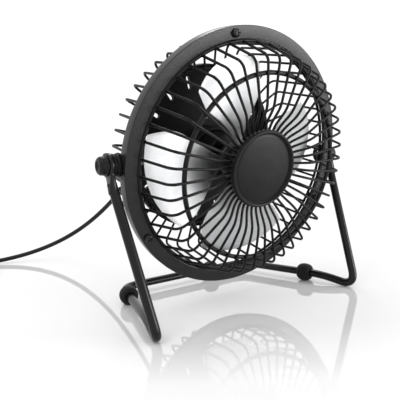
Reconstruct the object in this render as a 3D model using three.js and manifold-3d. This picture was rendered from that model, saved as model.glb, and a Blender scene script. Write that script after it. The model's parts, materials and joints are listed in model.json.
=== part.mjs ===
// Small metal desk fan on a bent rod stand. Millimetres, +Z up, the fan blows towards -Y.
// The head turns about the X axis through the two pivots. Inside the head's group the fan's axis
// is Y: y = 0 is the middle of the flange ring, -y is the front and +y the rear.
import * as THREE from 'three';
import { mergeVertices } from 'three/addons/utils/BufferGeometryUtils.js';
import Module from 'manifold-3d';

const wasm = await Module();
wasm.setup();

// ---------------------------------------------------------------- driving dimensions
const gap = 0.3; // between pieces that touch
const fullTurn = Math.PI * 2;
const degrees = Math.PI / 180;

// head
const headLean = 13.5; // degrees the front faces down
const ringRadius = 70;
const ringWidth = 6.5;
const ringDepth = 6;
const sheet = 0.8;

// guards
const wireCount = 46;
const wire = 1.4;
const rimWire = 1.6;
const faceRingRadius = 48.3;
const faceRingWire = 2.4;
const frontShoulderRadius = 56.5;
const frontReach = 22.6; // front of the front guard, ahead of the ring's middle
const stepOuterRadius = 32;
const stepInnerRadius = 22.5;
const stepDepth = 4.6;
const frontEndRadius = 14.5;
const rearShoulderRadius = 62;
const rearReach = 32.5;
const shoulderBevel = 2;

// badge
const badgeRadius = 20.4;
const badgeProud = 3.3; // front of the badge, ahead of the recessed wires
const badgeRim = 1.9;
const backPlateRadius = 17;
const backPlateThickness = 1.2;

// flange screws
const screwAngles = [102, 213, 337]; // degrees from +X towards +Z
const screwRadius = 1.1;
const screwHeadRadius = 2.3;
const screwHeadHeight = 1.9;
const nutAcross = 4.2;
const nutHeight = 2;
const tabThickness = 0.8;

// rotor and motor
const bladeCount = 4;
const bladeTipRadius = 55.5;
const bladeThickness = 0.8;
const bladeSpan = 66; // degrees of one blade at its widest
const bladeTipDrop = 0.07; // how fast the tip's edge falls away from its highest place
const bladeTipLead = 0.4; // that place, as a share of half the blade's width
const bladePitch = 27;
const firstBlade = 4;
const bladeSweep = 10;
const bladeDiscRadius = 11;
const bladePlane = 3; // y of the blades' disc
const hubRadius = 8.5;
const hubNeck = 4;
const hubFront = -4;
const hubRear = 9.5;
const shaftRadius = 1;
const canRadius = 12.2;
const canFront = 12.5;
const canRear = 33.6;
const bearingRadius = 3.4;
const bearingLength = 3.2;

// rear housing
const plateRadius = 49.5;
const plateThickness = 2.4;
const plateFront = 36.2;
const plateRimDepth = 3;
const slotCount = 18;
const slotInner = 36.5;
const slotOuter = 44.5;
const slotWidth = 2.2;
const coverRadius = 23;
const coverDepth = 9;
const coverWall = 1.6;

// stand
const rodRadius = 2.4;
const eyeRadius = 6;
const eyeThickness = 2.4;
const bushLength = 3;
const pivotBack = 5.5; // the pivots are this far behind the ring's middle
const lugWidth = 12; // of the ears on the ring that carry the pivots
const headClearance = 11.3; // from the table to the ring's lowest point, upright
const pivotHeight = ringRadius + headClearance;
const pivotReach = ringRadius + 2 * gap + bushLength + eyeThickness / 2; // x of the stand's eyes
const frontCornerX = pivotReach - 7.3; // the arms draw in towards the table
const rearCornerX = pivotReach - 28;
const frontCornerY = -27.4;
const rearCornerY = 56.3;
const cornerBend = 10;
const kneeShare = 0.27; // where each leg has risen to the grommets' height
const grommetRadius = 5.5;
const grommetLength = 9;
const footSink = 0.3; // worn flat under each grommet
const cornerDrop = 1.5; // the rounded front corners just touch the table
const pivotScrewRadius = 1.3;
const bushRadius = 5.6;
const capRadius = 4.6;
const capLength = 4.2;

// lead
const cordRadius = 1.75;
const glandLength = 17;
const glandAcross = -9;
const glandDown = -9;
const leadStraight = 8; // straight run behind the strain relief
const leadReach = 33; // the longer, the higher the lead arches before it falls
const leadSwingX = 12; // the place behind the fan that the fall heads for
const leadSwingY = 207;
const leadEndX = -106; // where the lead lies beside its coil
const leadEndY = 220;
const leadRestZ = cordRadius + 0.25;
const coilCentreX = -123.5;
const coilCentreY = 198;
const coilMeanRadius = 20;
const coilBand = 3 * 2 * cordRadius; // three turns side by side
const coilHeight = 2 * 2 * cordRadius + 0.4; // two turns deep
const tieThickness = 0.6;
const tieWidth = 7;
const tieAngle = -40;
const tailLength = 18;

// ---------------------------------------------------------------- finishes
function finish(color, roughness, metalness) {
  return new THREE.MeshStandardMaterial({ color, roughness, metalness });
}
const glossBlack = finish(0x0b0b0c, 0.22, 0.35);
const satinCharcoal = finish(0x2b2c2e, 0.42, 0.55);
const blackPlastic = finish(0x141415, 0.48, 0);
const blackRubber = finish(0x0d0d0e, 0.75, 0);
const bladeAluminium = finish(0xd9dcde, 0.3, 0.9);
const steel = finish(0xb4b6b8, 0.32, 1);
const brassTone = finish(0xb08a4a, 0.4, 1);

// ---------------------------------------------------------------- solids
function toSolid(geometry) {
  const bare = geometry.index ? geometry.clone() : geometry;
  bare.deleteAttribute('normal');
  bare.deleteAttribute('uv');
  const merged = mergeVertices(bare, 1e-4);
  return new wasm.Manifold(new wasm.Mesh({
    numProp: 3,
    vertProperties: new Float32Array(merged.attributes.position.array),
    triVerts: new Uint32Array(merged.index.array),
  }));
}

function toGeometry(solid) {
  const mesh = solid.getMesh();
  const geometry = new THREE.BufferGeometry();
  geometry.setAttribute('position', new THREE.BufferAttribute(new Float32Array(mesh.vertProperties), 3));
  geometry.setIndex(new THREE.BufferAttribute(new Uint32Array(mesh.triVerts), 1));
  geometry.computeVertexNormals();
  return geometry;
}

function joined(geometries) {
  return geometries.map(toSolid).reduce((whole, piece) => whole.add(piece));
}

function cutBy(whole, geometries) {
  return geometries.map(toSolid).reduce((rest, tool) => rest.subtract(tool), whole);
}

function addPiece(parent, name, shape, material) {
  const geometry = shape.isBufferGeometry ? shape : toGeometry(shape);
  const mesh = new THREE.Mesh(geometry, material);
  mesh.name = name;
  parent.add(mesh);
  return mesh;
}

// Turned about Y from [radius, y] points that run round the section anticlockwise.
function turned(profile, segments) {
  const area = profile.reduce((sum, [r, y], i) => {
    const [nextR, nextY] = profile[(i + 1) % profile.length];
    return sum + r * nextY - nextR * y;
  }, 0);
  const ordered = area > 0 ? profile : [...profile].reverse();
  const onAxis = ordered.some(([r]) => r === 0);
  const start = onAxis ? ordered.findIndex(([r], i) => r === 0 && ordered.at(i - 1)[0] === 0) : 0;
  const loop = [...ordered.slice(start), ...ordered.slice(0, start)];
  const closed = onAxis ? loop : [...loop, loop[0]];
  return new THREE.LatheGeometry(closed.map(([r, y]) => new THREE.Vector2(r, y)), segments);
}

function washer(inner, outer, low, high, segments) {
  return turned([[inner, low], [outer, low], [outer, high], [inner, high]], segments);
}

function disc(outer, low, high, segments) {
  return turned([[0, low], [outer, low], [outer, high], [0, high]], segments);
}

// A hoop of round wire, drawn with a few flats.
function hoop(radius, y, diameter, segments, sides) {
  const profile = Array.from({ length: sides }, (_, i) => {
    const angle = (i + 0.5) / sides * fullTurn;
    const reach = diameter / 2 / Math.cos(Math.PI / sides);
    return [radius + reach * Math.cos(angle), y + reach * Math.sin(angle)];
  });
  return turned(profile, segments);
}

function block(width, depth, height, x, y, z) {
  return new THREE.BoxGeometry(width, depth, height).translate(x, y, z);
}

// A place on the head at a radius and an angle from +X towards +Z about the fan's axis.
function aroundAxis(geometry, angle) {
  return geometry.rotateY(-angle * degrees);
}

function prism(radius, low, high, sides) {
  return new THREE.CylinderGeometry(radius, radius, high - low, sides).translate(0, (low + high) / 2, 0);
}

// ---------------------------------------------------------------- guards
// One wire in its radial plane: a bent strip as thick as the wire, from [radius, y] points.
function bentWire(points) {
  const place = points.map(([r, y]) => new THREE.Vector2(r, y));
  const sideways = place.map((point, i) => {
    const before = point.clone().sub(place[Math.max(i - 1, 0)]);
    const after = place[Math.min(i + 1, place.length - 1)].clone().sub(point);
    const run = i === 0 ? after.clone() : before.clone();
    const next = i === place.length - 1 ? before : after;
    run.normalize();
    const bisector = run.clone().add(next.clone().normalize()).normalize();
    const spread = wire / 2 / Math.max(bisector.dot(run), 0.5);
    return new THREE.Vector2(-bisector.y, bisector.x).multiplyScalar(spread);
  });
  const left = place.map((point, i) => point.clone().add(sideways[i]));
  const right = place.map((point, i) => point.clone().sub(sideways[i])).reverse();
  const outline = new THREE.Shape([...left, ...right]);
  return new THREE.ExtrudeGeometry(outline, { depth: wire, bevelEnabled: false }).translate(0, 0, -wire / 2);
}

function guardWires(points) {
  return Array.from({ length: wireCount }, (_, i) => {
    const wireAngle = (i + 0.5) * 360 / wireCount;
    return aroundAxis(bentWire(points), wireAngle);
  });
}

const screwCircle = ringRadius - sheet - (ringWidth - sheet) * 0.45;
const tabRadius = ringRadius - sheet - 1.5 * gap - screwCircle;
const ringFace = -ringDepth / 2;
const rimRadius = ringRadius - ringWidth - gap - rimWire / 2;
const screwHole = screwRadius + gap;

// Welded eye on a guard's rim that a flange screw passes through.
function screwTabs(low) {
  const reach = screwCircle - rimRadius;
  return screwAngles.flatMap((angle) => [
    prism(tabRadius, low, low + tabThickness, 10).translate(screwCircle, 0, 0),
    block(reach, tabThickness, 1.6 * tabRadius, rimRadius + reach / 2, low + tabThickness / 2, 0),
  ].map((piece) => aroundAxis(piece, angle)));
}

function screwHoles(low, high) {
  return screwAngles.map((angle) => {
    const hole = prism(screwHole, low, high, 10).translate(screwCircle, 0, 0);
    return aroundAxis(hole, angle);
  });
}

const frontTabLow = ringFace + sheet + gap;
const rearTabLow = frontTabLow + tabThickness + gap;
const frontRimY = frontTabLow + tabThickness / 2 - rimWire / 2;
const rearRimY = rearTabLow + tabThickness / 2 + rimWire / 2;
const faceWireY = -frontReach + wire / 2;
const recessWireY = faceWireY + stepDepth;

function frontGuard() {
  const wires = guardWires([
    [rimRadius, frontRimY],
    [frontShoulderRadius + shoulderBevel * 0.3, faceWireY + shoulderBevel],
    [frontShoulderRadius - shoulderBevel, faceWireY],
    [stepOuterRadius, faceWireY],
    [stepInnerRadius, recessWireY],
    [frontEndRadius, recessWireY],
  ]);
  const faceRingY = faceWireY + wire / 2 + faceRingWire / 2 - gap;
  const body = joined([
    hoop(rimRadius, frontRimY, rimWire, wireCount, 4),
    hoop(faceRingRadius, faceRingY, faceRingWire, wireCount, 4),
    hoop(frontEndRadius, recessWireY, rimWire, wireCount / 2, 4),
    ...wires,
    ...screwTabs(frontTabLow),
  ]);
  return cutBy(body, screwHoles(frontTabLow - 1, frontTabLow + 2));
}

const plateRimInner = plateRadius - coverWall;
const rearEndRadius = plateRimInner - gap - rimWire / 2;
const rearEndY = plateFront - plateRimDepth - gap - wire / 2;

function rearGuard() {
  const wires = guardWires([
    [rimRadius, rearRimY],
    [rearShoulderRadius, rearReach - shoulderBevel],
    [rearShoulderRadius - shoulderBevel, rearReach],
    [rearEndRadius, rearEndY],
  ]);
  const body = joined([
    hoop(rimRadius, rearRimY, rimWire, wireCount, 4),
    hoop(rearEndRadius, rearEndY + wire / 2, rimWire, wireCount, 4),
    ...wires,
    ...screwTabs(rearTabLow),
  ]);
  return cutBy(body, screwHoles(rearTabLow - 1, rearTabLow + 2));
}

// ---------------------------------------------------------------- flange ring and its screws
function ringFrame() {
  const section = [
    [ringRadius - ringWidth, ringFace],
    [ringRadius, ringFace],
    [ringRadius, -ringFace],
    [ringRadius - sheet, -ringFace],
    [ringRadius - sheet, ringFace + sheet],
    [ringRadius - ringWidth, ringFace + sheet],
  ];
  const lugEnd = pivotBack + lugWidth / 2;
  const lugX = ringRadius - sheet / 2;
  const lugs = [-1, 1].map((side) => block(sheet, lugEnd, lugWidth, side * lugX, lugEnd / 2, 0));
  const pivotHoles = [-1, 1].map((side) => prism(pivotScrewRadius + gap, ringRadius - 4, ringRadius + 2, 12)
    .rotateZ(-side * Math.PI / 2).translate(0, pivotBack, 0));
  const ring = joined([turned(section, 52), ...lugs]);
  return cutBy(ring, [...screwHoles(ringFace - 1, ringFace + 2), ...pivotHoles]);
}

function flangeScrew() {
  const under = ringFace - gap;
  const tip = rearTabLow + tabThickness + gap + nutHeight + 0.8;
  const blank = toSolid(turned([
    [0, under - screwHeadHeight],
    [screwHeadRadius * 0.72, under - screwHeadHeight],
    [screwHeadRadius, under - screwHeadHeight * 0.45],
    [screwHeadRadius, under],
    [screwRadius, under],
    [screwRadius, tip],
    [0, tip],
  ], 12));
  const recessLength = screwHeadRadius * 1.1;
  return cutBy(blank, crossRecess(under - screwHeadHeight, recessLength));
}

function crossRecess(face, length) {
  return [0, 1].map((turn) => block(length, 2, 0.6, 0, face, 0).rotateY(turn * Math.PI / 2));
}

function hexNut(low, across, height, bore) {
  const outside = toSolid(prism(across / Math.sqrt(3), low, low + height, 6));
  return cutBy(outside, [prism(bore, low - 1, low + height + 1, 12)]);
}

// ---------------------------------------------------------------- badge
function badgeDisc() {
  const back = recessWireY - wire / 2 - gap;
  const front = recessWireY - wire / 2 - badgeProud;
  const dome = 0.9;
  const inner = badgeRadius - badgeRim;
  return turned([
    [0, front + dome - 0.7],
    [inner * 0.55, front + dome - 0.5],
    [inner - 1.2, front + dome + 0.1],
    [inner, front + dome + 0.5],
    [inner + 0.1, front + 0.25],
    [inner + 0.7, front],
    [badgeRadius - 0.6, front],
    [badgeRadius, front + 0.6],
    [badgeRadius, back],
    [bearingRadius + 1, back],
    [bearingRadius + 1, recessWireY + wire / 2],
    [screwRadius + gap, recessWireY + wire / 2],
    [screwRadius + gap, back - 0.4],
    [0, back - 0.4],
  ], 32);
}

const backPlateFront = recessWireY + rimWire / 2 / Math.cos(Math.PI / 4) + gap;

function badgeBackPlate() {
  return washer(screwRadius + gap, backPlateRadius, backPlateFront, backPlateFront + backPlateThickness, 36);
}

function badgeScrew() {
  const seat = backPlateFront + backPlateThickness + gap;
  const tip = recessWireY - wire / 2;
  const blank = toSolid(turned([
    [0, tip],
    [screwRadius, tip],
    [screwRadius, seat],
    [screwHeadRadius, seat],
    [screwHeadRadius, seat + screwHeadHeight * 0.5],
    [screwHeadRadius * 0.7, seat + screwHeadHeight],
    [0, seat + screwHeadHeight],
  ], 12));
  return cutBy(blank, crossRecess(seat + screwHeadHeight, screwHeadRadius * 1.1));
}

// ---------------------------------------------------------------- rotor
// One twisted blade, bent from a grid: u runs out from the disc, v across from edge to edge.
function blade(angle) {
  const rootRadius = bladeDiscRadius - 2.5;
  const grid = new THREE.BoxGeometry(1, 1, 1, 6, 1, 6);
  const position = grid.attributes.position;
  for (let i = 0; i < position.count; i += 1) {
    const u = position.getX(i) + 0.5;
    const side = position.getY(i);
    const v = position.getZ(i) * 2;
    const drop = bladeTipDrop * (v + bladeTipLead) ** 2 * u;
    const radius = rootRadius + (bladeTipRadius - rootRadius) * u * (1 - drop);
    const widen = 0.42 + 0.58 * Math.min(1, Math.sin(Math.min(u * 1.45, 1) * Math.PI / 2));
    const half = bladeSpan / 2 * degrees * widen * (1 - 0.14 * Math.max(0, u - 0.72) / 0.28);
    const turn = half * v + bladeSweep * degrees * u;
    const rise = Math.tan(bladePitch * degrees) * v * Math.min(u * 2.4, 1) * (6 + 10 * u);
    const across = new THREE.Vector3(radius * Math.cos(turn), 0, radius * Math.sin(turn));
    position.setXYZ(i, across.x, bladePlane - rise * 0.8 + side * bladeThickness, across.z);
  }
  return aroundAxis(grid, angle);
}

function fanBlades() {
  const blades = Array.from({ length: bladeCount }, (_, i) => blade(firstBlade + i * 360 / bladeCount));
  const low = bladePlane - bladeThickness / 2;
  const body = joined([disc(bladeDiscRadius, low, low + bladeThickness, 32), ...blades]);
  return cutBy(body, [prism(hubNeck + gap, low - 3, low + 4, 24)]);
}

function rotorHub() {
  const bore = shaftRadius + gap;
  return turned([
    [bore, hubFront + 2.6],
    [hubNeck, hubFront + 2.6],
    [hubNeck, bladePlane + bladeThickness / 2 + gap],
    [hubRadius, bladePlane + bladeThickness / 2 + gap],
    [hubRadius, hubRear],
    [bore, hubRear],
  ], 20);
}

function hubCap() {
  const seat = bladePlane - bladeThickness / 2 - gap;
  const nose = hubFront - 2.4;
  return turned([
    [0, nose],
    [hubNeck, nose + 0.6],
    [hubRadius - 0.5, nose + 3],
    [hubRadius, seat],
    [hubNeck + gap, seat],
    [hubNeck + gap, nose + 3.4],
    [0, nose + 3.4],
  ], 20);
}

function motorShaft() {
  return disc(shaftRadius, hubFront + 1.5, canRear - 1.4, 12);
}

// ---------------------------------------------------------------- motor
function motorCan() {
  const wall = 0.9;
  const boss = bearingRadius + 1;
  const bore = shaftRadius + gap;
  return turned([
    [bore, canFront - 2.2],
    [boss, canFront - 2.2],
    [boss, canFront],
    [canRadius, canFront],
    [canRadius, canRear],
    [canRadius - wall, canRear],
    [canRadius - wall, canFront + wall],
    [bearingRadius + gap, canFront + wall],
    [bearingRadius + gap, canFront - 1.4],
    [bore, canFront - 1.4],
  ], 20);
}

function bearing(low) {
  return washer(shaftRadius + gap, bearingRadius, low, low + bearingLength, 16);
}

const armatureFront = canFront + bearingLength + 1;
const endCapFront = canRear - 3.2;

function motorArmature() {
  const poles = Array.from({ length: 3 }, (_, i) => block(9, endCapFront - armatureFront - 2, 5, 4.9, 0, 0)
    .translate(0, (endCapFront + armatureFront - 2) / 2, 0).rotateY(i * fullTurn / 3));
  const core = prism(4, armatureFront, endCapFront - 2, 12);
  return cutBy(joined([core, ...poles]), [prism(shaftRadius + gap, armatureFront - 1, endCapFront, 12)]);
}

function motorEndCap() {
  const outer = canRadius - 0.9 - gap;
  return turned([
    [bearingRadius + gap, endCapFront],
    [outer, endCapFront],
    [outer, canRear],
    [shaftRadius + gap, canRear],
    [shaftRadius + gap, canRear - 1],
    [bearingRadius + gap, canRear - 1],
  ], 20);
}

// ---------------------------------------------------------------- rear housing
const plateRear = plateFront + plateThickness;
const motorScrewReach = 8;
const coverScrewReach = 18.5;

function rearHousing() {
  const socketInner = canRadius + gap;
  const socketOuter = socketInner + coverWall;
  const body = toSolid(turned([
    [0, plateFront],
    [socketInner, plateFront],
    [socketInner, canRear - 9],
    [socketOuter, canRear - 9],
    [socketOuter, plateFront],
    [plateRimInner, plateFront],
    [plateRimInner, plateFront - plateRimDepth],
    [plateRadius, plateFront - plateRimDepth],
    [plateRadius, plateRear - 0.8],
    [plateRadius - 0.8, plateRear],
    [0, plateRear],
  ], 40));
  const slots = Array.from({ length: slotCount }, (_, i) => {
    const slot = block(slotOuter - slotInner, 8, slotWidth, (slotOuter + slotInner) / 2, plateFront, 0);
    return aroundAxis(slot, (i + 0.5) * 360 / slotCount);
  });
  const holes = [-1, 1].flatMap((side) => [
    prism(screwHole, plateFront - 1, plateRear + 1, 10).translate(side * motorScrewReach, 0, 0),
    prism(screwHole, plateFront - 1, plateRear + 1, 10).translate(0, 0, side * coverScrewReach),
  ]);
  return cutBy(body, [...slots, ...holes]);
}

// Screw along Y with its head towards the rear.
function rearScrew(headSeat, length) {
  const blank = toSolid(turned([
    [0, headSeat - length],
    [screwRadius, headSeat - length],
    [screwRadius, headSeat],
    [screwHeadRadius - 0.4, headSeat],
    [screwHeadRadius - 0.4, headSeat + 0.8],
    [screwHeadRadius * 0.6, headSeat + 1.5],
    [0, headSeat + 1.5],
  ], 12));
  return cutBy(blank, crossRecess(headSeat + 1.5, screwHeadRadius));
}

const coverFront = plateRear + gap;
const coverRear = coverFront + coverDepth;
const switchWidth = 8;
const switchHeight = 12;
const switchAcross = 8;
const switchCentreZ = 4;
const glandHole = 3;
const coverPostRadius = 3;

function rearCover() {
  const inner = coverRadius - coverWall;
  const shell = toSolid(turned([
    [0, coverRear],
    [coverRadius - 2.5, coverRear],
    [coverRadius - 0.7, coverRear - 0.9],
    [coverRadius, coverRear - 2.8],
    [coverRadius, coverFront],
    [inner, coverFront],
    [inner, coverRear - coverWall - 0.8],
    [0, coverRear - coverWall],
  ], 28));
  const posts = [-1, 1].map((side) => prism(coverPostRadius, coverFront, coverRear - 1, 12)
    .translate(0, 0, side * coverScrewReach));
  const holes = [-1, 1].map((side) => prism(screwHole, coverFront - 1, coverRear + 1, 10)
    .translate(0, 0, side * coverScrewReach));
  const opening = block(switchWidth + 2 * gap, 8, switchHeight + 2 * gap, switchAcross, coverRear, switchCentreZ);
  const outlet = prism(glandHole + gap, coverRear - 5, coverRear + 2, 16)
    .translate(glandAcross, 0, glandDown);
  const body = posts.map(toSolid).reduce((whole, post) => whole.add(post), shell);
  return cutBy(body, [...holes, opening, outlet]);
}

// Rocker switch: a bezel frame clipped into the cover, and the rocker that tips inside it.
const rockerPivotY = coverRear - 0.6;
const rockerRadius = 4.6;
const bezelWall = 1;

function switchBezel() {
  const lip = block(switchWidth + 2.4, 1, switchHeight + 2.4, 0, coverRear + gap + 0.5, 0);
  const tub = block(switchWidth, 6, switchHeight, 0, coverRear - 2.2, 0);
  const well = block(switchWidth - 2 * bezelWall, 7, switchHeight - 2 * bezelWall, 0, coverRear, 0);
  return cutBy(joined([lip, tub]), [well]).translate([switchAcross, 0, switchCentreZ]);
}

function switchRocker() {
  const half = switchHeight / 2 - bezelWall - gap - 0.4;
  const outline = new THREE.Shape();
  outline.moveTo(-half + 0.6, -2.2);
  outline.lineTo(half - 0.6, -2.2);
  outline.lineTo(half, 2.6);
  outline.lineTo(0.6, 1.3);
  outline.lineTo(-half, 1.9);
  const width = switchWidth - 2 * bezelWall - 2 * gap;
  const body = new THREE.ExtrudeGeometry(outline, { depth: width, bevelEnabled: false });
  body.translate(0, 0, -width / 2).rotateY(-Math.PI / 2);
  return body.translate(switchAcross, rockerPivotY, switchCentreZ);
}

function strainRelief() {
  const bore = cordRadius + gap;
  const ribs = 3;
  const start = coverRear + gap;
  const step = (glandLength - 4) / (ribs + 1);
  const outside = [[4.6, start], [4.6, start + 2]];
  for (let i = 0; i < ribs; i += 1) {
    const radius = 3.7 - i * 0.35;
    const from = start + 2.6 + i * step;
    const to = from + step - 0.5;
    outside.push([radius - 0.6, from], [radius, from + 0.5], [radius, to - 0.5], [radius - 0.6, to]);
  }
  outside.push([bore + 0.5, start + glandLength]);
  const body = turned([
    [bore, start - 4.5],
    [glandHole, start - 4.5],
    [glandHole, start],
    ...outside,
    [bore, start + glandLength],
  ], 12);
  return body.translate(glandAcross, 0, glandDown);
}

// ---------------------------------------------------------------- stand
class RoundedPath extends THREE.CurvePath {
  constructor(corners, bend) {
    super();
    let from = corners[0];
    for (let i = 1; i < corners.length - 1; i += 1) {
      const corner = corners[i];
      const back = corners[i - 1].clone().sub(corner).setLength(bend).add(corner);
      const ahead = corners[i + 1].clone().sub(corner).setLength(bend).add(corner);
      this.add(new THREE.LineCurve3(from, back));
      this.add(new THREE.QuadraticBezierCurve3(back, corner, ahead));
      from = ahead;
    }
    this.add(new THREE.LineCurve3(from, corners.at(-1)));
  }
}

function roundSection(radius, sides) {
  return new THREE.Shape(Array.from({ length: sides }, (_, i) => {
    const angle = (i + 0.5) / sides * fullTurn;
    return new THREE.Vector2(radius * Math.cos(angle), radius * Math.sin(angle));
  }));
}

function rodAlong(path, radius, sides, steps) {
  const section = roundSection(radius, sides);
  return new THREE.ExtrudeGeometry(section, { steps, extrudePath: path, bevelEnabled: false });
}

const rodHeight = grommetRadius - footSink;
const cornerHeight = rodRadius - cornerDrop;
const armTop = pivotHeight - eyeRadius - 2.5;

function legPoint(side, share) {
  return new THREE.Vector3(
    side * (frontCornerX + (rearCornerX - frontCornerX) * share),
    frontCornerY + (rearCornerY - frontCornerY) * share,
    rodHeight,
  );
}

const armLean = Math.atan2(-frontCornerY, pivotHeight);

function standFrame() {
  const half = (side) => [
    new THREE.Vector3(side * pivotReach, -(pivotHeight - armTop) * Math.tan(armLean), armTop),
    new THREE.Vector3(side * frontCornerX, frontCornerY, cornerHeight),
    legPoint(side, kneeShare),
    legPoint(side, 1),
  ];
  const corners = [...half(-1), ...half(1).reverse()];
  const rod = rodAlong(new RoundedPath(corners, cornerBend), rodRadius, 8, 66);
  const eyes = [-1, 1].map((side) => {
    const eye = prism(eyeRadius, -eyeThickness / 2, eyeThickness / 2, 20).rotateZ(Math.PI / 2);
    return eye.translate(side * pivotReach, 0, pivotHeight);
  });
  const necks = [-1, 1].map((side) => block(eyeThickness, 6, 9, 0, 0, -eyeRadius - 0.5)
    .rotateX(-armLean).translate(side * pivotReach, 0, pivotHeight));
  const hole = prism(pivotScrewRadius + gap, -pivotReach - 5, pivotReach + 5, 12).rotateZ(Math.PI / 2);
  return cutBy(joined([rod, ...eyes, ...necks]), [hole.translate(0, 0, pivotHeight)]);
}

// A rubber grommet on the rod at a place, its axis along the rod there, worn flat below.
function grommet(place, heading) {
  const half = grommetLength / 2;
  const bore = rodRadius + gap;
  const barrel = turned([
    [bore, -half],
    [grommetRadius - 1.6, -half],
    [grommetRadius - 0.4, -half * 0.55],
    [grommetRadius, 0],
    [grommetRadius - 0.4, half * 0.55],
    [grommetRadius - 1.6, half],
    [bore, half],
  ], 16);
  barrel.rotateZ(-Math.atan2(heading.x, heading.y)).translate(place.x, place.y, place.z);
  return cutBy(toSolid(barrel), [block(20, 20, 4, place.x, place.y, -2)]);
}

const grommets = [
  { name: 'foot_grommet_left', side: -1, share: 0.79 },
  { name: 'foot_grommet_right', side: 1, share: 0.4 },
];

// ---------------------------------------------------------------- pivots
const bushInner = ringRadius + gap;
const bushOuter = pivotReach - eyeThickness / 2 - gap;
const capStart = pivotReach + eyeThickness / 2 + gap;

function alongX(geometry, side) {
  return geometry.rotateZ(side > 0 ? -Math.PI / 2 : Math.PI / 2);
}

function pivotScrew(side) {
  const headRadius = ringDepth / 2 - sheet - gap;
  const seat = Math.sqrt((ringRadius - sheet) ** 2 - headRadius ** 2) - gap;
  const blank = toSolid(turned([
    [0, seat - 1.8],
    [headRadius - 0.5, seat - 1.8],
    [headRadius, seat - 1.1],
    [headRadius, seat],
    [pivotScrewRadius, seat],
    [pivotScrewRadius, capStart + capLength - 1.6],
    [0, capStart + capLength - 1.6],
  ], 12));
  const slotted = cutBy(blank, [block(2 * headRadius + 1, 1.4, 0.6, 0, seat - 1.8, 0)]);
  return alongX(toGeometry(slotted), side);
}

function pivotBush(side) {
  return alongX(washer(pivotScrewRadius + gap, bushRadius, bushInner, bushOuter, 18), side);
}

function capNut(side) {
  const end = capStart + capLength;
  const bore = pivotScrewRadius + gap;
  return alongX(turned([
    [bore, capStart],
    [capRadius, capStart],
    [capRadius, end - 1],
    [capRadius - 1, end],
    [0, end],
    [0, end - 1.2],
    [bore, end - 1.2],
  ], 16), side);
}

// ---------------------------------------------------------------- lead
// Straight out of the strain relief, then one long fall that settles on the table by the coil.
const leadOut = new THREE.Vector3(0, Math.cos(headLean * degrees), Math.sin(headLean * degrees));
const leadStart = new THREE.Vector3(glandAcross, coverRear + glandLength + 3 * gap - pivotBack, glandDown)
  .applyAxisAngle(new THREE.Vector3(1, 0, 0), headLean * degrees)
  .add(new THREE.Vector3(0, 0, pivotHeight));

function powerCord() {
  const straightEnd = leadStart.clone().addScaledVector(leadOut, leadStraight);
  const landing = new THREE.Vector3(leadEndX, leadEndY, leadRestZ);
  const swing = new THREE.Vector3(leadSwingX, leadSwingY, leadRestZ);
  const path = new THREE.CurvePath();
  path.add(new THREE.LineCurve3(leadStart, straightEnd));
  const rise = straightEnd.clone().addScaledVector(leadOut, leadReach);
  path.add(new THREE.CubicBezierCurve3(straightEnd, rise, swing, landing));
  return rodAlong(path, cordRadius, 8, 36);
}

function smoothTube(points, radius, sides, steps) {
  const curve = new THREE.CatmullRomCurve3(points.map(([x, y, z]) => new THREE.Vector3(x, y, z)), false, 'centripetal');
  return rodAlong(curve, radius, sides, steps);
}

const coilOuter = coilMeanRadius + coilBand / 2;
const coilLow = tieThickness + gap;
const coilTop = coilLow + coilHeight;

function coilSolid() {
  const inner = coilMeanRadius - coilBand / 2;
  const chamfer = 1.2;
  return turned([
    [inner + chamfer, coilLow],
    [coilOuter - chamfer, coilLow],
    [coilOuter, coilLow + chamfer],
    [coilOuter, coilTop - chamfer],
    [coilOuter - chamfer, coilTop],
    [inner + chamfer, coilTop],
    [inner, coilTop - chamfer],
    [inner, coilLow + chamfer],
  ], 28).rotateX(Math.PI / 2).translate(coilCentreX, coilCentreY, 0);
}

// Strap wrapped once round the coil's turns.
function coilTie() {
  const across = coilBand + 4 * gap;
  const tall = coilHeight + 2 * gap;
  const middle = coilLow - gap + tall / 2;
  const outside = block(across + 2 * tieThickness, tieWidth, tall + 2 * tieThickness, coilMeanRadius, 0, middle);
  const inside = block(across, tieWidth + 2, tall, coilMeanRadius, 0, middle);
  const strap = cutBy(toSolid(outside), [inside]);
  return strap.rotate([0, 0, tieAngle]).translate([coilCentreX, coilCentreY, 0]);
}

// The coil's last turn leaves along -Y, down to the plug beside it.
const plugX = coilCentreX - coilMeanRadius - 2 * cordRadius;
const tailTop = coilCentreY - Math.sqrt((coilOuter + gap) ** 2 - (coilOuter - 2 * cordRadius) ** 2);
const plugTop = tailTop - tailLength - gap;
const plugCentreZ = 4.2;

function cordTail() {
  const route = [
    [plugX, tailTop, coilTop - cordRadius - gap],
    [plugX, tailTop - tailLength / 3, coilTop - cordRadius - 2 * gap],
    [plugX, tailTop - tailLength * 2 / 3, plugCentreZ],
    [plugX, tailTop - tailLength, plugCentreZ],
  ];
  return smoothTube(route, cordRadius, 8, 6);
}

function usbOvermould() {
  const outline = new THREE.Shape();
  outline.moveTo(-2.6, 0);
  outline.lineTo(2.6, 0);
  outline.lineTo(7.4, -6);
  outline.lineTo(7.8, -24);
  outline.lineTo(-7.8, -24);
  outline.lineTo(-7.4, -6);
  const body = new THREE.ExtrudeGeometry(outline, { depth: 2 * (plugCentreZ - 0.2), bevelEnabled: false });
  return body.translate(plugX, plugTop, 0.2);
}

function usbShell() {
  const start = plugTop - 24 - gap;
  const outside = toSolid(block(12, 14, 4.5, plugX, start - 7, plugCentreZ));
  return cutBy(outside, [block(11.2, 13, 3.7, plugX, start - 8, plugCentreZ)]);
}

function usbTongue() {
  const start = plugTop - 24 - gap;
  return block(10.4, 11, 1.7, plugX, start - 1.5 - gap - 5.5, plugCentreZ + 0.7);
}

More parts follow.
